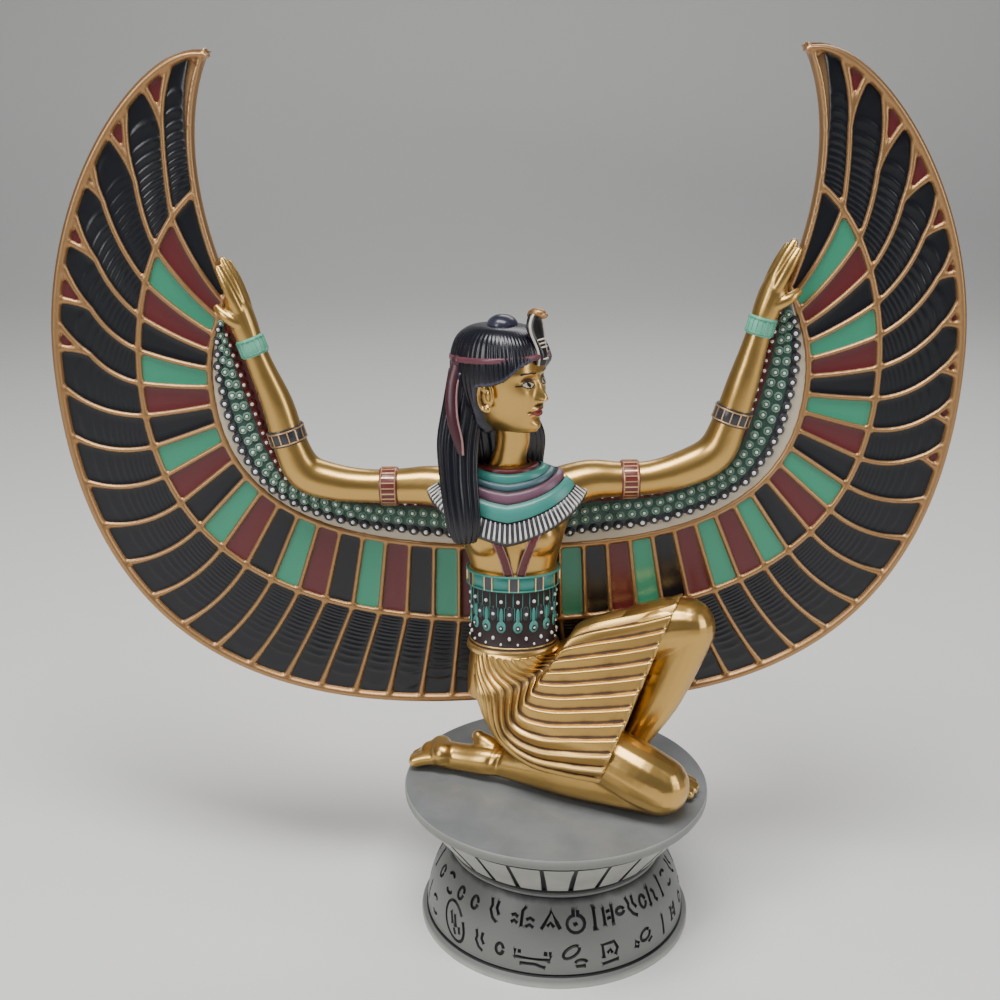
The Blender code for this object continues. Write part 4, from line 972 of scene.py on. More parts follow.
head = {
    "middle": (-19.2, 2, 149), "turn": math.radians(58),
    # from the crown to under the chin: height, reach ahead, reach back, half width, squareness of the front
    "rows": [(17.5, 0.01, 0.01, 0.01, 2.2), (16.6, 6.0, 7.0, 5.6, 2.2), (13.6, 10.6, 12, 9.2, 2.3),
             (8.6, 13.0, 14.4, 11.2, 2.5), (3.8, 13.7, 14.8, 11.8, 2.6), (-0.6, 13.4, 14.4, 11.7, 2.6),
             (-5.2, 13.6, 12.6, 11.0, 2.4), (-9.6, 13.8, 10, 9.7, 2.2), (-13.2, 13.4, 7.4, 8.0, 2.05),
             (-15.8, 12.9, 5, 5.8, 2.0), (-17.3, 10.6, 3, 3.7, 2.0), (-17.0, 0.01, 0.01, 0.01, 2.0)],
    # soft forms of the face: to the side, up, how far out, spread sideways, spread up
    "forms": [(1.75, -5.9, 1.3, 0.75, 0.75), (4.9, 1.0, -1.7, 2.3, 1.5), (4.9, -0.1, 1.15, 1.8, 0.95),
              (4.6, 3.3, 0.5, 3.0, 0.8), (0, -8.7, 0.95, 2.3, 0.6), (0, -10.6, 1.1, 1.9, 0.7),
              (0, -9.62, -0.6, 2.8, 0.24), (0, -12.3, -0.6, 2.6, 0.8), (0, -15.0, 0.7, 2.4, 1.4),
              (6.6, -3.8, 0.6, 2.6, 2.4), (0, -7.3, -0.25, 0.5, 0.6), (3.9, -9.7, -0.4, 0.7, 0.6)],
    "nose": [(3.0, 0.0), (1.4, 0.5), (-0.6, 1.4), (-4.6, 3.3), (-5.4, 3.3), (-6.1, 2.1), (-6.8, 0.6),
             (-7.4, 0.0)],
    # the eye: to the side, up, half width, half height; the mouth: up, half width, upper lip, lower lip
    "eye": (4.9, -0.05, 2.45, 1.0), "mouth": (-9.62, 3.6, 1.45, 1.75),
    "earSide": 11.5, "earVoxel": 0.28, "earSoften": 3,
}


def headSpot(ahead, left, up):
    x, y, z = head["middle"]
    turn = head["turn"]
    return spot(x + math.sin(turn) * ahead + math.cos(turn) * left,
                y - math.cos(turn) * ahead + math.sin(turn) * left, z + up)


def addHeadBall(bm, place, sizes, segments=20, rings=14):
    # an ellipsoid turned with the head; its place is ahead, to the left and up
    matrix = Matrix.Translation(headSpot(*place)) @ Matrix.Rotation(head["turn"] - math.pi / 2, 4, "Z")
    matrix = matrix @ Matrix.Diagonal((*(size * step for size in sizes), 1))
    bmesh.ops.create_uvsphere(bm, u_segments=segments, v_segments=rings, radius=1, matrix=matrix)


def headRow(ahead, left, up, radius):
    # a row for pathRings, from a place on the head
    place = headSpot(ahead, left, up) / step
    return place.x, place.y, place.z - seat / step, radius


def headShape(level, around, extra=(0, 0, 0, 1)):
    # a point of the bare head, without its features; around is 0 straight ahead
    up, front, back, wide, square = sampleRow(head["rows"], level * (len(head["rows"]) - 1))
    front, back, wide, up = front + extra[0], back + extra[1], wide + extra[2], up * extra[3]
    cosine, sine = math.cos(around), math.sin(around)
    power = 2 / square if cosine > 0 else 1.0
    deep = front if cosine > 0 else back
    ahead = deep * math.copysign(abs(cosine) ** power, cosine)
    return ahead, wide * math.copysign(abs(sine) ** power, sine), up


def noseRise(up):
    rows = head["nose"]
    for (highUp, highRise), (lowUp, lowRise) in zip(rows, rows[1:]):
        if lowUp <= up <= highUp:
            f = smoothStep(0, 1, (highUp - up) / (highUp - lowUp))
            return highRise + (lowRise - highRise) * f
    return 0.0


def buildHead():
    bm = bmesh.new()
    layers = {name: bm.verts.layers.float.new(name) for name in ("paintWhite", "paintRed", "paintBlack")}
    corners = bmesh.ops.create_uvsphere(bm, u_segments=220, v_segments=170, radius=1)["verts"]
    eyeSide, eyeUp, eyeWide, eyeTall = head["eye"]
    lipUp, lipWide, upperLip, lowerLip = head["mouth"]
    for corner in corners:
        around = math.atan2(corner.co.y, corner.co.x)
        around -= 0.45 * math.sin(around)
        level = math.acos(max(-1.0, min(1.0, corner.co.z))) / math.pi
        ahead, left, up = headShape(level, around)
        facing = smoothStep(0.1, 0.5, math.cos(around))
        aside = abs(left)
        for formSide, formUp, out, spreadSide, spreadUp in head["forms"]:
            near = ((aside - formSide) / spreadSide) ** 2 + ((up - formUp) / spreadUp) ** 2
            ahead += facing * out * math.exp(-near / 2)
        width = 0.95 + 0.55 * smoothStep(2, -5, up)
        ahead += facing * noseRise(up) * math.exp(-(aside / width) ** 2 / 2)
        if facing > 0.2:
            # eyelids, and the paint of eyes, brows and lips
            across = (aside - eyeSide) / eyeWide
            lid = eyeTall * max(0.0, 1 - across ** 2) ** 0.75
            rise = up - eyeUp - 0.12 * across
            inside = lid - abs(rise)
            corner[layers["paintWhite"]] = smoothStep(-0.05, 0.12, inside)
            iris = 0.78 - math.hypot(aside - eyeSide + 0.1, up - eyeUp)
            ring = smoothStep(0.34, 0.16, abs(inside + 0.1)) * (1 if abs(across) < 1.06 else 0)
            tail = smoothStep(0.3, 0.15, abs(up - eyeUp + 0.1)) * (1 if 0.9 < across < 1.75 else 0)
            brow = 3.55 + 0.3 * math.sin((aside - 2) * 0.42)
            hair = smoothStep(0.42, 0.22, abs(up - brow)) * (1 if 2.1 < aside < 8.2 else 0)
            dark = max(smoothStep(-0.08, 0.08, iris) * (1 if inside > 0 else 0), ring, tail, hair)
            corner[layers["paintBlack"]] = dark
            ahead += 0.22 * smoothStep(0.5, 0.0, abs(inside + 0.15)) * (1 if abs(across) < 1.1 else 0)
            bow = 1 + 0.28 * math.exp(-((aside - 0.9) / 0.6) ** 2) - 0.12 * math.exp(-(aside / 0.4) ** 2)
            share = max(0.0, 1 - (aside / lipWide) ** 2)
            top, low = lipUp + upperLip * share ** 0.8 * bow * 0.85, lipUp - lowerLip * share ** 0.6
            inLips = smoothStep(0.0, 0.22, min(top - up, up - low))
            corner[layers["paintRed"]] = inLips if share > 0 else 0.0
        corner.co = headSpot(ahead, left, up)
    makePiece("face", bm, [faceGold])

    # ears: a rolled rim, a lobe and the hollow inside
    bm = bmesh.new()
    for side in (-1, 1):
        base = head["earSide"]
        rim = []
        for k in range(19):
            a = math.radians(-100 + 300 * k / 18)
            rim.append(headRow(0.7 - 2.7 * math.cos(a), side * (base + 1.2), -3.6 + 5.0 * math.sin(a), 0.72))
        growRings(bm, pathRings(rim, 10, 0))
        for ahead, out, up, sizes in ((0.7, base, -3.4, (2.6, 1.0, 4.7)),
                                      (1.0, base + 0.8, -8.2, (1.5, 1.0, 1.4)),
                                      (1.7, base + 0.9, -3.4, (0.9, 0.8, 2.0)),
                                      (0.2, base + 0.9, -1.4, (1.2, 0.7, 1.6))):
            addHeadBall(bm, (ahead, side * out, up), sizes)
    makePiece("ears", bm, [faceGold], voxel=head["earVoxel"], soften=head["earSoften"])


buildHead()

hair = {
    "extra": (1.9, 4.6, 2.7, 1.055), "strands": 60, "strandHeight": 0.4,
    # the hairline: height, and how far round from straight ahead the hair begins, in degrees
    "line": [(30, -20), (9.0, -4), (7.6, 18), (6.0, 38), (3.8, 52), (1.6, 64), (0.2, 78), (-1.0, 96),
             (-8, 102), (-20, 114)],
    "back": [(-24.6, 7, 154, 11.4, 9.2), (-25.2, 8.4, 147, 12.8, 9), (-25.2, 9, 140, 14.4, 8.4),
             (-23.2, 11.5, 128, 18, 7.4), (-22, 13.5, 116, 16.5, 6), (-19, 15, 104, 14, 5)],
    "lock": [(-31.0, 2.6, 152, 6.6, 7), (-32.6, 1, 141, 7, 6.4), (-34.6, -1.5, 129, 7, 5.6),
             (-34.6, -4.5, 118, 6.4, 4.6), (-33.6, -7, 107, 6.0, 4.2), (-32.8, -7.8, 99, 5.4, 3.8),
             (-32.4, -7.2, 94, 3.6, 2.6)],
    # the knob on the crown: ahead, up and its half sizes
    "knob": (-0.6, 17.9, 5.3, 5.3, 3.7),
}


def hairlineAt(up):
    rows = hair["line"]
    for (highUp, first), (lowUp, last) in zip(rows, rows[1:]):
        if lowUp <= up <= highUp:
            return first + (last - first) * (highUp - up) / (highUp - lowUp)
    return rows[-1][1]


def strandRings(rows, sides, parts, strands, depth):
    rings = []
    for x, y, z, wide, deep in sampleRows(rows, parts):
        ring = []
        for a in circleTurns(sides):
            grow = depth * (abs(math.sin(a * strands / 2)) ** 0.7 - 0.6)
            ring.append(spot(x + (wide + grow) * math.cos(a), y + (deep + grow) * math.sin(a), z))
        rings.append(ring)
    return rings


def buildHair():
    bm = bmesh.new()
    corners = bmesh.ops.create_uvsphere(bm, u_segments=276, v_segments=90, radius=1)["verts"]
    for corner in corners:
        around = math.atan2(corner.co.y, corner.co.x)
        level = math.acos(max(-1.0, min(1.0, corner.co.z))) / math.pi
        bare = headShape(level, around)
        full = headShape(level, around, hair["extra"])
        degrees = abs(math.degrees(around))
        cover = smoothStep(-2.5, 2.5, degrees - hairlineAt(bare[2]))
        swirl = around * hair["strands"] / 2 + 0.5 * math.sin(around) * level * 9
        ridge = hair["strandHeight"] * (abs(math.sin(swirl)) ** 0.75 - 0.5) * smoothStep(0.05, 0.25, level)
        shape = [a * 0.90 + (b - a * 0.90) * cover for a, b in zip(bare, full)]
        flat = math.hypot(shape[0], shape[1]) or 1.0
        grow = ridge * cover
        corner.co = headSpot(shape[0] * (1 + grow / flat), shape[1] * (1 + grow / flat), shape[2])
    ahead, up, *sizes = hair["knob"]
    addHeadBall(bm, (ahead, 0, up), sizes, 32, 16)
    makePiece("wig_cap", bm, [hairBlack])
    bm = bmesh.new()
    growRings(bm, strandRings(hair["back"], 150, 8, 34, 0.8))
    makePiece("back_hair", bm, [hairBlack])
    bm = bmesh.new()
    growRings(bm, strandRings(hair["lock"], 96, 8, 14, 0.95))
    makePiece("front_lock", bm, [hairBlack])


buildHair()

band = {
    "up": 8.2, "tilt": math.radians(9), "half": 1.0, "wide": 11.4, "sides": 120,
    # across the band: height, and how far proud of the hair
    "section": [(-1.0, -1.4), (-1.0, 0.5), (-0.6, 0.8), (0.6, 0.8), (1.0, 0.5), (1.0, -1.4)],
    "ribbon": [(-34.4, -1.6, 155.5, 2.0), (-36.6, -4.2, 147, 1.9), (-36.6, -6.6, 138, 1.9),
               (-34.8, -7.8, 130, 1.7), (-33.6, -8.2, 125, 0.8)],
    "bow": (2.6, 1.8, 2.2),
}


def buildHeadband():
    bm = bmesh.new()
    front = head["rows"][3][1] + hair["extra"][0]
    back = head["rows"][3][2] + hair["extra"][1]
    wide = band["wide"] + hair["extra"][2]
    rings = []
    for lift, proud in band["section"]:
        ring = []
        for a in circleTurns(band["sides"]):
            deep = front if math.cos(a) > 0 else back
            ahead, left = (deep + proud) * math.cos(a), (wide + proud) * math.sin(a)
            up = band["up"] + lift * band["half"] + math.tan(band["tilt"]) * (ahead - 2) * 0.45
            ring.append(headSpot(ahead, left, up))
        rings.append(ring)
    growRings(bm, rings, ends=False)
    rows = band["ribbon"]
    growRings(bm, pathRings(rows, 16, 6, 0.4, facing=(0.35, 1, 0)))
    x, y, z, radius = rows[0]
    addBall(bm, (x, y, z), band["bow"], head["turn"])
    makePiece("headband_and_ribbon", bm, [plumPaint])
    bm = bmesh.new()
    edge = [(x + radius * 0.95, y - 0.5, z, 0.42) for x, y, z, radius in rows]
    growRings(bm, pathRings(edge, 8, 6))
    makePiece("ribbon_edge", bm, [pinkPaint])


buildHeadband()

uraeus = {
    # hood from its foot up: ahead of the head's middle, up, half width, half depth
    "hood": [(13.6, 6.2, 2.2, 2.4), (14.0, 8.6, 2.6, 2.4), (13.7, 11.2, 2.8, 2.2), (13.0, 13.6, 3.3, 2.0),
             (12.3, 16.2, 4.2, 1.8), (11.8, 18.8, 4.5, 1.7), (11.6, 21.0, 3.6, 1.7), (11.8, 22.8, 2.2, 1.8)],
    # bars across the hood: up, half width, ahead
    "bars": [(8.4, 1.7, 16.3), (12.2, 2.2, 15.6), (13.4, 2.5, 15.1), (14.6, 2.9, 14.6)],
    # the head's snout, chin and crown: ahead, up and half sizes
    "head": [(12.9, 23.2, (3.0, 2.2, 1.5)), (14.9, 22.4, (1.8, 1.6, 1.1)), (11.2, 22.2, (2.0, 2.0, 2.0))],
    "voxel": 0.25, "soften": 2,
}


def buildUraeus():
    bm = bmesh.new()
    rings = []
    for ahead, up, wide, deep in sampleRows(uraeus["hood"], 5):
        rings.append([headSpot(ahead + deep * math.cos(a), wide * math.sin(a), up) for a in circleTurns(28)])
    growRings(bm, rings)
    makePiece("cobra_hood", bm, [blackPaint])
    bm = bmesh.new()
    for side in (-1, 1):
        rows = [headRow(ahead + deep * 0.45, side * wide * 0.93, up, 0.42)
                for ahead, up, wide, deep in uraeus["hood"]]
        growRings(bm, pathRings(rows, 8, 4))
    for up, wide, ahead in uraeus["bars"]:
        addHeadBall(bm, (ahead, 0, up), (0.55, wide, 0.3), 16, 10)
    makePiece("cobra_edges", bm, [creamPaint])
    bm = bmesh.new()
    for ahead, up, sizes in uraeus["head"]:
        addHeadBall(bm, (ahead, 0, up), sizes)
    makePiece("cobra_head", bm, [wingGold], voxel=uraeus["voxel"], soften=uraeus["soften"])


buildUraeus()
print("head ready")


# dress

collar = {
    "neck": (-17.9, 8, 117.6, 7.6, 7.3), "edge": (-18, 9, 104, 28.6, 18.2), "drop": 11.2, "rise": 5.4,
    "sides": 160,
    # share of the way out, height above the skin, and the material slot up to the next line
    "lines": [(0.0, -1.5, 5), (0.0, 0.5, 5), (0.03, 0.9, 5), (0.06, 0.5, 1), (0.075, 0.75, 1),
              (0.155, 0.75, 1), (0.17, 0.3, 0), (0.185, 0.3, 0), (0.20, 0.85, 2), (0.26, 1.0, 2),
              (0.32, 0.85, 2), (0.333, 0.35, 0), (0.345, 0.35, 3), (0.36, 0.8, 3), (0.42, 0.8, 3),
              (0.435, 0.3, 0), (0.465, 0.3, 0), (0.48, 0.85, 4), (0.53, 1.0, 4), (0.58, 0.85, 4),
              (0.595, 0.3, 0), (0.61, 0.3, 0), (0.625, 0.9, 2), (0.70, 1.1, 2), (0.78, 0.9, 2),
              (0.795, 0.35, 0), (0.82, 0.35, 0), (0.84, 0.7, 0), (0.97, 0.6, 0), (1.0, 0.1, 0),
              (0.99, -1.2, 5), (0.95, -2.4, 5)],
    "teeth": 96,
}


def collarSpot(share, a, proud):
    neck, edge = collar["neck"], collar["edge"]
    front = max(0.0, -math.sin(a))
    wide = neck[3] + (edge[3] - neck[3]) * share
    deep = neck[4] + (edge[4] - neck[4]) * share ** 0.9
    x = neck[0] + (edge[0] - neck[0]) * share + wide * math.cos(a)
    fullness = 0.62 + 0.30 * smoothStep(0, 0.35, front)
    y = neck[1] + (edge[1] - neck[1]) * share + deep * fullness * math.sin(a)
    fall = share ** 1.5
    z = neck[2] + (edge[2] - neck[2]) * fall
    z += (collar["rise"] * abs(math.cos(a)) - collar["drop"] * front ** 1.4) * fall + proud
    return spot(x, y - proud * 0.6 * front, z)


def buildCollar():
    bm = bmesh.new()
    rings = [[collarSpot(share, a, proud) for a in circleTurns(collar["sides"])]
             for share, proud, _ in collar["lines"]]
    growRings(bm, rings, slots=[line[2] for line in collar["lines"]], ends=False)
    makePiece("collar", bm, [blackPaint, maroonPaint, tealPaint, slatePaint, mauvePaint, skinGold])
    bm = bmesh.new()
    for k in range(collar["teeth"]):
        a = 2 * math.pi * (k + 0.5) / collar["teeth"]
        half = math.pi / collar["teeth"] * 0.42
        for corner in bmesh.ops.create_cube(bm, size=1)["verts"]:
            share = 0.825 if corner.co.y < 0 else 0.992
            narrow = 0.55 if corner.co.y < 0 else 1.0
            corner.co = collarSpot(share, a + (half * narrow if corner.co.x > 0 else -half * narrow),
                                   0.95 if corner.co.z > 0 else -0.2)
    makePiece("collar_teeth", bm, [creamPaint], smooth=False)


buildCollar()

belt = {
    "centre": (-15.7, 8), "sides": 112,
    # height, half width, half depth, material slot up to the next ring
    "rings": [(48.6, 14.5, 10.5, 0), (48.6, 16.1, 12.7, 0), (49.6, 16.9, 13.5, 0), (51.2, 16.6, 13.2, 0),
              (52.0, 15.9, 12.5, 1), (52.2, 15.6, 12.2, 1), (62, 15.0, 11.5, 1), (73.4, 15.2, 11.6, 1),
              (74.0, 15.4, 11.8, 2), (74.2, 16.1, 12.3, 2), (76.8, 16.3, 12.4, 2), (79.6, 16.4, 12.4, 2),
              (79.9, 15.9, 11.9, 0), (80.2, 13.6, 9.6, 0)],
    "columns": 16, "squares": 11, "squareHeight": 76.9,
    # half width and half depth of the teal band, and of the belt as a whole
    "tealHalf": (16.25, 12.35), "half": (15.5, 12.0),
}


def beltSpot(a, z, proud):
    rows = belt["rings"][4:8]
    z = min(max(z, rows[0][0]), belt["rings"][11][0])
    if z > 74:
        wide, deep = belt["tealHalf"]
    else:
        for (z0, w0, d0, _), (z1, w1, d1, _) in zip(rows, rows[1:]):
            if z0 <= z <= z1 + 0.7:
                f = (z - z0) / (z1 - z0)
                wide, deep = w0 + (w1 - w0) * f, d0 + (d1 - d0) * f
    return spot(belt["centre"][0] + (wide + proud) * math.cos(a),
                belt["centre"][1] + (deep + proud) * math.sin(a), z)


def addBead(bm, a, z, sizes, proud=0.0):
    # an ellipsoid set on the belt: half width round the belt, depth, half height
    centre = beltSpot(a, z, proud)
    facing = math.atan2(belt["half"][0] * math.sin(a), belt["half"][1] * math.cos(a))
    place = Matrix.Translation(centre) @ Matrix.Rotation(facing, 4, "Z")
    place = place @ Matrix.Diagonal((sizes[1] * step, sizes[0] * step, sizes[2] * step, 1))
    bmesh.ops.create_uvsphere(bm, u_segments=10, v_segments=7, radius=1, matrix=place)


def buildBelt():
    bm = bmesh.new()
    rings = []
    for z, wide, deep, _ in belt["rings"]:
        rings.append([spot(belt["centre"][0] + wide * math.cos(a), belt["centre"][1] + deep * math.sin(a), z)
                      for a in circleTurns(belt["sides"])])
    growRings(bm, rings, slots=[row[3] for row in belt["rings"]], ends=False)
    makePiece("belt", bm, [kiltGold, maroonPaint, tealPaint])
    drops, dots, dark, gilt = bmesh.new(), bmesh.new(), bmesh.new(), bmesh.new()
    count = belt["columns"]
    for k in range(count):
        a = 2 * math.pi * (k + 0.25) / count
        between = a + math.pi / count
        addBead(drops, a, 60.6, (1.75, 0.5, 2.3))
        addBead(drops, a, 64.6, (0.75, 0.45, 3.2))
        addBead(dark, a, 60.4, (1.0, 0.75, 1.25), 0.05)
        addBead(dots, a, 60.4, (0.55, 0.95, 0.55), 0.1)
        addBead(dots, a, 70.2, (0.62, 0.75, 0.7), 0.1)
        addBead(dark, between, 65.6, (1.35, 0.5, 3.0))
        addBead(dots, between, 65.6, (0.66, 0.8, 0.7), 0.1)
        addBead(dots, between, 56.4, (0.55, 0.7, 0.75), 0.05)
        addBead(dots, a, 54.2, (0.4, 0.6, 0.5), 0.0)
        for lean in (-1, 1):
            addBead(drops, between + lean * 0.085, 70.6, (0.2, 0.35, 3.0))
            addBead(drops, between + lean * 0.118, 65.6, (0.2, 0.35, 2.6))
    for k in range(belt["squares"]):
        a = 2 * math.pi * (k + 0.25) / belt["squares"]
        for corner in bmesh.ops.create_cube(dark, size=1)["verts"]:
            corner.co = beltSpot(a + corner.co.x * 0.16, belt["squareHeight"] + corner.co.z * 5.0,
                                 0.35 if corner.co.y > 0 else -0.6)
        for shift in (-0.095, 0.095):
            for corner in bmesh.ops.create_cube(gilt, size=1)["verts"]:
                corner.co = beltSpot(a + shift + corner.co.x * 0.022,
                                     belt["squareHeight"] + corner.co.z * 5.2,
                                     0.5 if corner.co.y > 0 else -0.6)
    for z, proud, thick, target in ((74.3, 0.15, 0.34, drops), (79.6, 0.25, 0.45, drops),
                                    (52.6, -0.1, 0.4, gilt)):
        rows = []
        for k in range(belt["sides"] + 1):
            place = beltSpot(2 * math.pi * k / belt["sides"], z, proud) / step
            rows.append((place.x, place.y, place.z - seat / step, thick))
        growRings(target, pathRings(rows, 8, 0), ends=False)
    makePiece("belt_drops", drops, [tealPaint])
    makePiece("belt_dots", dots, [whitePaint])
    makePiece("belt_dark_beads", dark, [blackPaint], sharp=50)
    makePiece("belt_gilding", gilt, [skinGold], sharp=50)


buildBelt()

straps = {
    "paths": [[(-23.0, -5.6, 97, 1.5), (-21.0, -6.0, 92, 1.5), (-19.0, -4.6, 86, 1.45),
               (-17.4, -3.0, 79.6, 1.4)],
              [(-7.6, -5.6, 97, 1.5), (-9.8, -6.0, 92, 1.5), (-11.8, -4.6, 86, 1.45),
               (-13.4, -3.0, 79.6, 1.4)]],
}


def buildStraps():
    bm = bmesh.new()
    for path in straps["paths"]:
        rows = sampleRows(path, 8)
        for i in range(1, len(rows), 3):
            x, y, z, radius = rows[i]
            rows[i] = (x, y - 0.12, z, radius * 1.06)
        growRings(bm, pathRings(rows, 14, 0, 0.5, facing=(0, 1, 0)))
    makePiece("straps", bm, [maroonPaint])
    bm = bmesh.new()
    for path in straps["paths"]:
        for lean in (-1, 1):
            edge = [(x + lean * 1.4, y - 0.35, z, 0.26) for x, y, z, radius in path]
            growRings(bm, pathRings(edge, 8, 8))
    makePiece("strap_edges", bm, [pinkPaint])


buildStraps()

armbands = {
    # station along the arm, length, how far proud, ground and number of bars
    "upper": (2.3, 6.4, 0.55, "R", 22), "elbow": (6.2, 5.8, 0.6, "K", 14), "wrist": (8.8, 6.4, 0.6, "G", 18),
    "sides": 64,
}


def buildArmbands():
    grounds = {"R": bmesh.new(), "K": bmesh.new(), "G": bmesh.new()}
    gilt = bmesh.new()
    for arm in (arms["right"], arms["left"]):
        for label in ("upper", "elbow", "wrist"):
            station, length, proud, colour, bars = armbands[label]
            x, y, z, radius = sampleRow(arm, station)
            middle = Vector((x, y, z))
            before = Vector(sampleRow(arm, station - 0.2)[:3])
            after = Vector(sampleRow(arm, station + 0.2)[:3])
            ahead = (after - before).normalized()
            side = ahead.cross(Vector((0, 1, 0))).normalized()
            up = ahead.cross(side)

            def ringAt(shift, grow):
                ring = []
                for a in circleTurns(armbands["sides"]):
                    out = side * math.cos(a) + up * math.sin(a)
                    ring.append(spot(*(middle + ahead * shift + out * (radius + grow))))
                return ring

            half = length / 2
            growRings(grounds[colour], [ringAt(-half, -1.5), ringAt(-half, proud * 0.7),
                                        ringAt(-half + 0.4, proud), ringAt(half - 0.4, proud),
                                        ringAt(half, proud * 0.7), ringAt(half, -1.5)])
            edges = gilt if colour != "G" else grounds["G"]
            for shift in (-half + 0.75, half - 0.75):
                growRings(edges, [ringAt(shift - 0.3, 0), ringAt(shift - 0.25, proud + 0.2),
                                  ringAt(shift, proud + 0.32), ringAt(shift + 0.25, proud + 0.2),
                                  ringAt(shift + 0.3, 0)])
            for a in circleTurns(bars):
                out = side * math.cos(a) + up * math.sin(a)
                place = spot(*(middle + out * (radius + proud)))
                axes = Matrix((ahead, ahead.cross(out), out)).transposed().to_4x4()
                size = Matrix.Diagonal(((length - 1.8) * step, 0.42 * step, 0.55 * step, 1))
                bmesh.ops.create_cube(edges, size=1, matrix=Matrix.Translation(place) @ axes @ size)
    makePiece("upper_armbands", grounds["R"], [maroonPaint], sharp=40)
    makePiece("elbow_armbands", grounds["K"], [blackPaint], sharp=40)
    makePiece("bracelets", grounds["G"], [greenPaint], sharp=40)
    makePiece("armband_gilding", gilt, [wingGold], sharp=40)


buildArmbands()

kilt = {
    # pairs of circles that the cloth is stretched round, from the waist to the hem: x, y, z, radius
    "rows": [((-15.7, 5.5, 50.5, 13.2), (-15.7, 8, 50.5, 13.2)), ((-15.6, 4, 40, 15), (-12, 6.6, 43, 14)),
             ((-11.5, 0, 29.5, 16.4), (-3, 5.6, 43, 15)), ((-3.5, -6, 23.6, 15.6), (8.5, 5.2, 47.4, 14.2)),
             ((8.2, -12.8, 21.2, 14.2), (25, 3.8, 53.4, 13.2)),
             ((19.6, -18.6, 20.2, 12.9), (40, 1.4, 59, 12.5))],
    # which way each pair faces, and how far round its pleats begin
    "facing": [(0, 0, -1), (0.42, -0.12, -0.9), (0.75, -0.22, -0.45), (0.88, -0.28, -0.32),
               (0.9, -0.3, -0.33), (0.9, -0.3, -0.31)],
    "twist": [0, 0.24, 0.185, 0.15, 0.13, 0.12],
    "pleats": 30, "depth": 0.95, "perPleat": 10, "parts": 10,
}


def hullPoint(near, nearSize, far, farSize, side, up, share):
    run = (far - near).length
    top, bottom = math.pi * farSize, math.pi * nearSize
    reach = share * (top + bottom + 2 * run)
    if reach < top:
        out = side * math.cos(reach / farSize) + up * math.sin(reach / farSize)
        return far + out * farSize, out
    reach -= top
    if reach < run:
        f = reach / max(run, 1e-6)
        return far.lerp(near, f) - side * (farSize + (nearSize - farSize) * f), -side
    reach -= run
    if reach < bottom:
        out = -side * math.cos(reach / nearSize) - up * math.sin(reach / nearSize)
        return near + out * nearSize, out
    f = (reach - bottom) / max(run, 1e-6)
    return near.lerp(far, f) + side * (nearSize + (farSize - nearSize) * f), side


def buildKilt():
    bm = bmesh.new()
    count = kilt["pleats"] * kilt["perPleat"]
    steps = (len(kilt["rows"]) - 1) * kilt["parts"]
    rings = []
    for k in range(steps + 1):
        t = k / kilt["parts"]
        low = sampleRow([row[0] for row in kilt["rows"]], t)
        high = sampleRow([row[1] for row in kilt["rows"]], t)
        facing = Vector(sampleRow(kilt["facing"], t)).normalized()
        near, far = Vector(low[:3]), Vector(high[:3])
        spine = far - near
        spine -= facing * spine.dot(facing)
        up = spine.normalized()
        side = facing.cross(up)
        depth = kilt["depth"] * min(1.0, 0.35 + 2.2 * k / steps)
        if k == steps:
            depth *= 0.5
        twist = sampleRow([(turned,) for turned in kilt["twist"]], t)[0]
        ring = []
        for j in range(count):
            share = (j / count + twist) % 1.0
            point, out = hullPoint(near, low[3], near + spine, high[3], side, up, share)
            phase = (j % kilt["perPleat"]) / kilt["perPleat"]
            crest = phase / 0.7 if phase < 0.7 else (1 - phase) / 0.3
            ring.append(spot(*(point + out * depth * (crest * 1.7 - 1.1))))
        rings.append(ring)
    growRings(bm, rings)
    makePiece("kilt", bm, [kiltGold])


buildKilt()
print("dress ready")


# plinth

plinth = {
    "topThick": 4.5, "neckRadius": 38.5, "neckHeight": 31.0, "bead": 2.0, "bodyRadius": 47.8,
    "footHeight": 5.5, "groove": 1.2, "turns": 192, "panels": 28, "panelLine": 0.75,
    "markLine": 0.66, "markSides": 6, "behind": 11,
    # the kinds of mark that fill each row behind
    "upperBehind": ("lean", "bar", "loop", "ladder"), "lowerBehind": ("arcs", "bar", "leaves", "slants"),
    # the rows of marks: height, then which mark stands at which angle from the front, in degrees
    "upper": (24.6, [(-63, "arcs"), (-53, "loop"), (-43, "loop"), (-31.5, "lean"), (-17, "wings"),
                     (-3.8, "peak"), (7.5, "ring"), (17, "bar"), (23.5, "ladder"), (30, "dash"),
                     (37, "lean"), (44, "loop"), (51.5, "slants"), (60, "bar"), (68, "arcs")]),
    "lower": (13.4, [(-70, "arcs"), (-52, "shield"), (-36, "lean"), (-26, "loop"), (-11.5, "trough"),
                     (6.5, "leaves"), (22, "arch"), (40, "curl"), (54, "bar"), (64, "ladder"),
                     (76, "loop")]),
}


def oval(across, up, wide, high, first=8, last=352, turn=0.0, count=14):
    points = []
    for k in range(count):
        a = math.radians(first + (last - first) * k / (count - 1))
        x, y = wide * math.cos(a), high * math.sin(a)
        points.append((across + x * math.cos(turn) - y * math.sin(turn),
                       up + x * math.sin(turn) + y * math.cos(turn)))
    return points


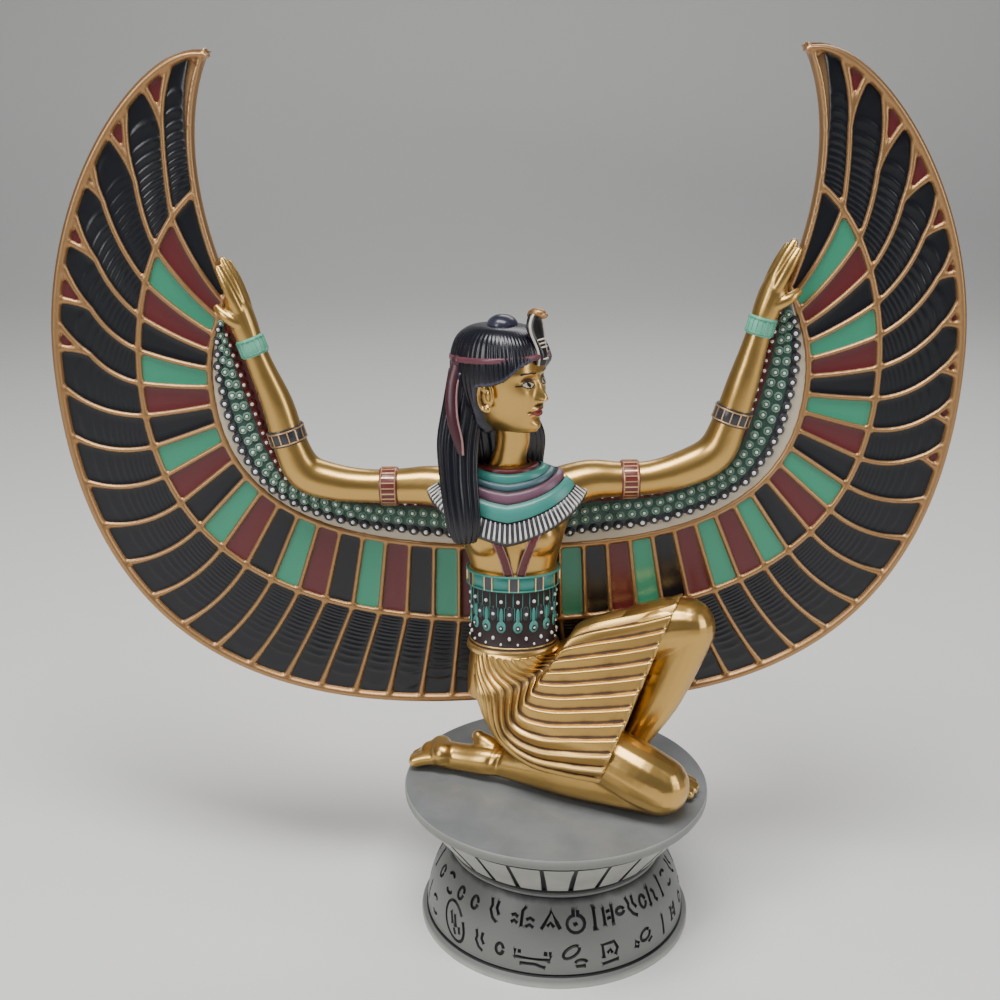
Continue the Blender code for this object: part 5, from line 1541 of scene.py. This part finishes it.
# plain strokes across and up, in place of writing
marks = {
    "bar": [[(-0.5, -3.8), (-0.3, 3.8)]],
    "dash": [oval(0, 0.4, 1.6, 1.1)],
    "loop": [oval(0, 0, 1.4, 2.1)],
    "lean": [[(-1.9, 3.8), (-1.2, 1.6), (-1.6, 0.2), (-0.2, -2.2), (1.6, -3.4)],
             [(0.9, 3.6), (0.7, 1.2), (1.9, -0.6)]],
    "wings": [[(-4.2, 0.4), (-3.0, 1.0), (-1.8, 0.2)], [(-4.2, -1.8), (-3.0, -1.0), (-1.8, -1.8)],
              [(0.6, 3.8), (-0.4, 2.4), (-0.4, -2.6)], [(1.2, -0.2), (2.6, 0.6), (4.0, -0.2)],
              [(1.2, -2.4), (2.6, -1.6), (4.0, -2.4)]],
    "peak": [[(-3.4, -2.6), (-2.4, -1.0), (0, 3.2), (2.0, -0.4), (3.2, -2.4)],
             [(-1.4, -1.6), (-0.2, -0.4), (1.0, -1.8)]],
    "ring": [oval(0, -0.9, 3.1, 2.9, 100, 440), [(-0.7, 3.4), (-0.7, 1.4)], [(0.9, 3.4), (0.9, 1.4)],
             [(-0.6, -1.2), (0.5, -0.6)]],
    "ladder": [[(-1.8, -2.8), (-1.6, 3.0)], [(1.5, -2.6), (1.7, 3.2)], [(-0.7, 1.4), (0.8, 1.6)],
               [(-0.7, -0.8), (0.8, -0.6)]],
    "slants": [[(-1.4, 3.4), (-2.2, -3.0)], [(0.2, 1.8), (1.2, 0.4), (1.0, -1.6), (2.2, -3.0)]],
    "arcs": [oval(-1.0, 1.8, 1.8, 1.3, 10, 170, count=8), oval(1.0, -1.8, 1.8, 1.3, 190, 350, count=8)],
    "trough": [[(-6.2, 1.6), (-6.2, -1.4), (6.2, -1.4), (6.2, 1.8)], [(-4.6, 1.6), (-4.6, 0.2)],
               [(4.6, 1.8), (4.6, 0.2)], [(-4.4, -3.6), (1.0, -3.4), (4.6, -4.6)]],
    "leaves": [oval(-1.2, 1.6, 3.3, 1.7, turn=0.6), oval(2.2, -2.8, 2.1, 1.3, 8, 172, count=8),
               [(0.6, -4.0), (3.8, -4.0)]],
    "arch": [[(-2.4, -2.2), (-2.6, 2.8), (1.8, 3.2), (3.0, 0.6), (2.0, -1.8)],
             [(-1.0, -0.6), (0.2, 0.6), (0.9, -1.0)], [(-3.0, -4.6), (3.2, -3.8)]],
    "curl": [oval(0.8, 0.8, 2.4, 1.9, turn=0.5), [(-2.4, -1.2), (-4.0, 0.2), (-4.4, -1.8), (-2.6, -2.4)],
             [(2.0, -2.6), (4.0, -1.2)]],
    "shield": [oval(0, 1.6, 4.6, 7.6, turn=0.62, count=22), [(-2.6, 4.4), (-0.6, 0.6)],
               [(-0.4, 4.2), (1.4, 0.0)], [(0.4, -0.8), (1.6, -3.0)], [(2.8, 0.6), (3.6, -1.6)]],
}


def bodyRadius(height):
    low = plinth["footHeight"] + plinth["groove"]
    t = min(max((plinth["neckHeight"] - height) / (plinth["neckHeight"] - low), 0.0), 1.0)
    spread = plinth["bodyRadius"] - plinth["neckRadius"]
    return plinth["neckRadius"] + spread * math.sin(t * math.pi / 2) ** 0.8


def addCut(bm, points, line):
    # a groove cutter along points given as angle, radius and height
    rows = [(radius * math.cos(a), radius * math.sin(a), height - seat / step, line)
            for a, radius, height in points]
    growRings(bm, pathRings(rows, plinth["markSides"], 0))


def addMark(bm, kind, angle, height):
    for stroke in marks[kind]:
        points = []
        for across, up in stroke:
            z = height + up * 0.92
            radius = bodyRadius(z)
            points.append((math.radians(angle - 90) + across / radius, radius, z))
        addCut(bm, points, plinth["markLine"])


def buildPlinth():
    topRadius, height = plinthHigh.x / step, plinthHigh.z / step
    foot = topRadius * 50 / 55.5
    under = height - plinth["topThick"]
    neck, neckRadius = plinth["neckHeight"], plinth["neckRadius"]
    low = plinth["footHeight"] + plinth["groove"]
    coneTop, coneLow = (topRadius - 3.3, under - 1.5), (neckRadius + 2.3, neck + plinth["bead"] + 2.4)
    # the outline from the middle of the disc down, as radius and height
    points = [(0, height), (topRadius - 1.4, height), (topRadius - 0.5, height - 0.25),
              (topRadius - 0.05, height - 1.0), (topRadius - 0.1, under + 1.6),
              (topRadius - 0.7, under + 0.6), (topRadius - 2.5, under), (topRadius - 3.6, under - 0.1),
              (topRadius - 3.9, under - 1.2), coneTop, coneLow,
              (neckRadius + 1.1, neck + plinth["bead"] + 2.2), (neckRadius, neck + plinth["bead"] + 0.6),
              (neckRadius + 0.1, neck + plinth["bead"]), (neckRadius + 0.7, neck + plinth["bead"] * 0.8),
              (neckRadius + 0.9, neck + plinth["bead"] * 0.45), (neckRadius + 0.2, neck)]
    for k in range(1, 13):
        z = neck + (low - neck) * k / 12
        points.append((bodyRadius(z), z))
    points += [(plinth["bodyRadius"] - plinth["groove"] * 0.7, low - 0.5),
               (plinth["bodyRadius"] + 0.4, low - 1.1), (foot - 0.4, plinth["footHeight"] - 0.3),
               (foot, plinth["footHeight"] - 1.0), (foot, 1.0), (foot - 0.8, 0.05), (0, 0)]
    bm = bmesh.new()
    corners = [bm.verts.new((radius * step, 0, z * step)) for radius, z in points]
    for a, b in zip(corners, corners[1:]):
        bm.edges.new((a, b))
    bmesh.ops.spin(bm, geom=bm.verts[:] + bm.edges[:], cent=(0, 0, 0), axis=(0, 0, 1), angle=2 * math.pi,
                   steps=plinth["turns"], use_merge=True)
    bmesh.ops.remove_doubles(bm, verts=bm.verts, dist=0.00002)
    # black wash in the ring grooves, and on top the disc's darker grey, partly its own tint and partly
    # painted shade against the overhead light
    sunk = [(under - 1.4, under - 0.02), (neck + plinth["bead"] + 0.02, neck + plinth["bead"] + 2.39),
            (neck + 0.02, neck + plinth["bead"] * 0.44), (low - 1.09, low - 0.02)]
    for face in bm.faces:
        z = face.calc_center_median().z / step
        face.material_index = int(any(first < z < last for first, last in sunk))
        # top faces: the disc grey, darkened partly with painted shade
        if z > height - 0.6:
            face.material_index = 2
    cutter = bmesh.new()
    for k in range(plinth["panels"]):
        a = 2 * math.pi * (k + 0.42) / plinth["panels"]
        addCut(cutter, [(a, coneTop[0] + 0.3, coneTop[1] + 0.2), (a, *coneLow)], plinth["panelLine"])
    for row in ("upper", "lower"):
        height, front = plinth[row]
        kinds = plinth[row + "Behind"]
        for angle, kind in front:
            addMark(cutter, kind, angle, height)
        first, last = front[-1][0] + plinth["behind"], front[0][0] + 360 - plinth["behind"]
        count = int((last - first) / plinth["behind"])
        for k in range(count + 1):
            addMark(cutter, kinds[k % len(kinds)], first + (last - first) * k / count, height)
    bmesh.ops.recalc_face_normals(cutter, faces=cutter.faces)
    for face in cutter.faces:
        face.material_index = 1
    cuts = bpy.data.meshes.new("plinth_cuts")
    cutter.to_mesh(cuts)
    cutter.free()
    makePiece("carved_plinth", bm, [stoneGrey, markBlack, discGreyAndShade], node="plinth",
              sharp=35, cuts=cuts)


buildPlinth()
print("plinth ready")


# floor, light and camera

def buildStage():
    bm = bmesh.new()
    profile = [(-2.0, 0.0), (1.1, 0.0), (1.5, 0.05), (1.75, 0.2), (1.85, 0.5), (1.9, 2.4)]
    corners = [bm.verts.new((-3.0, y, z)) for y, z in profile]
    edges = [bm.edges.new(pair) for pair in zip(corners, corners[1:])]
    grown = bmesh.ops.extrude_edge_only(bm, edges=edges)["geom"]
    bmesh.ops.translate(bm, verts=[item for item in grown if isinstance(item, bmesh.types.BMVert)],
                        vec=(6.0, 0, 0))
    mesh = bpy.data.meshes.new("floor")
    bm.to_mesh(mesh)
    bm.free()
    floor = bpy.data.objects.new("floor", mesh)
    bpy.context.scene.collection.objects.link(floor)
    floor.data.polygons.foreach_set("use_smooth", [True] * len(floor.data.polygons))
    rounder = floor.modifiers.new("Round", "SUBSURF")
    rounder.levels = rounder.render_levels = 3
    material = bpy.data.materials.new("paleFloor")
    material.use_nodes = True
    shader = material.node_tree.nodes["Principled BSDF"]
    shader.inputs["Base Color"].default_value = (0.70, 0.69, 0.67, 1)
    shader.inputs["Roughness"].default_value = 0.7
    floor.data.materials.append(material)


def addLight(name, place, target, size, power):
    lamp = bpy.data.lights.new(name, "AREA")
    lamp.shape = "RECTANGLE"
    lamp.size, lamp.size_y = size
    lamp.energy = power
    thing = bpy.data.objects.new(name, lamp)
    thing.location = place
    thing.rotation_euler = (Vector(target) - Vector(place)).to_track_quat("-Z", "Y").to_euler()
    bpy.context.scene.collection.objects.link(thing)


lamps = {
    # place, width and height, power; all of them point at the middle
    "middle": (0, 0, 0.17),
    "overhead": ((-0.15, -0.30, 1.15), (0.9, 0.35), 17),
    "frontLeft": ((-0.95, -0.85, 0.75), (0.35, 0.8), 8),
    "frontRight": ((1.1, -0.5, 0.55), (0.3, 0.8), 5),
    "backTop": ((0.3, 0.9, 1.0), (0.9, 0.4), 5),
}


def buildLights():
    for name in ("overhead", "frontLeft", "frontRight", "backTop"):
        place, size, power = lamps[name]
        addLight(name, place, lamps["middle"], size, power)
    world = bpy.data.worlds.new("studio")
    bpy.context.scene.world = world
    world.use_nodes = True
    world.node_tree.nodes["Background"].inputs["Color"].default_value = (0.62, 0.66, 0.72, 1)
    world.node_tree.nodes["Background"].inputs["Strength"].default_value = 0.2


view = {"lens": 46.8, "place": (-0.0205, -0.428, 0.2960), "degreesDown": 17.2}


def buildCamera():
    lens = bpy.data.cameras.new("camera")
    lens.lens = view["lens"]
    lens.sensor_width = 36
    lens.clip_start = 0.01
    camera = bpy.data.objects.new("camera", lens)
    camera.location = view["place"]
    camera.rotation_euler = (math.radians(90 - view["degreesDown"]), 0, 0)
    bpy.context.scene.collection.objects.link(camera)
    bpy.context.scene.camera = camera


buildStage()
buildLights()
buildCamera()
print("stage ready")
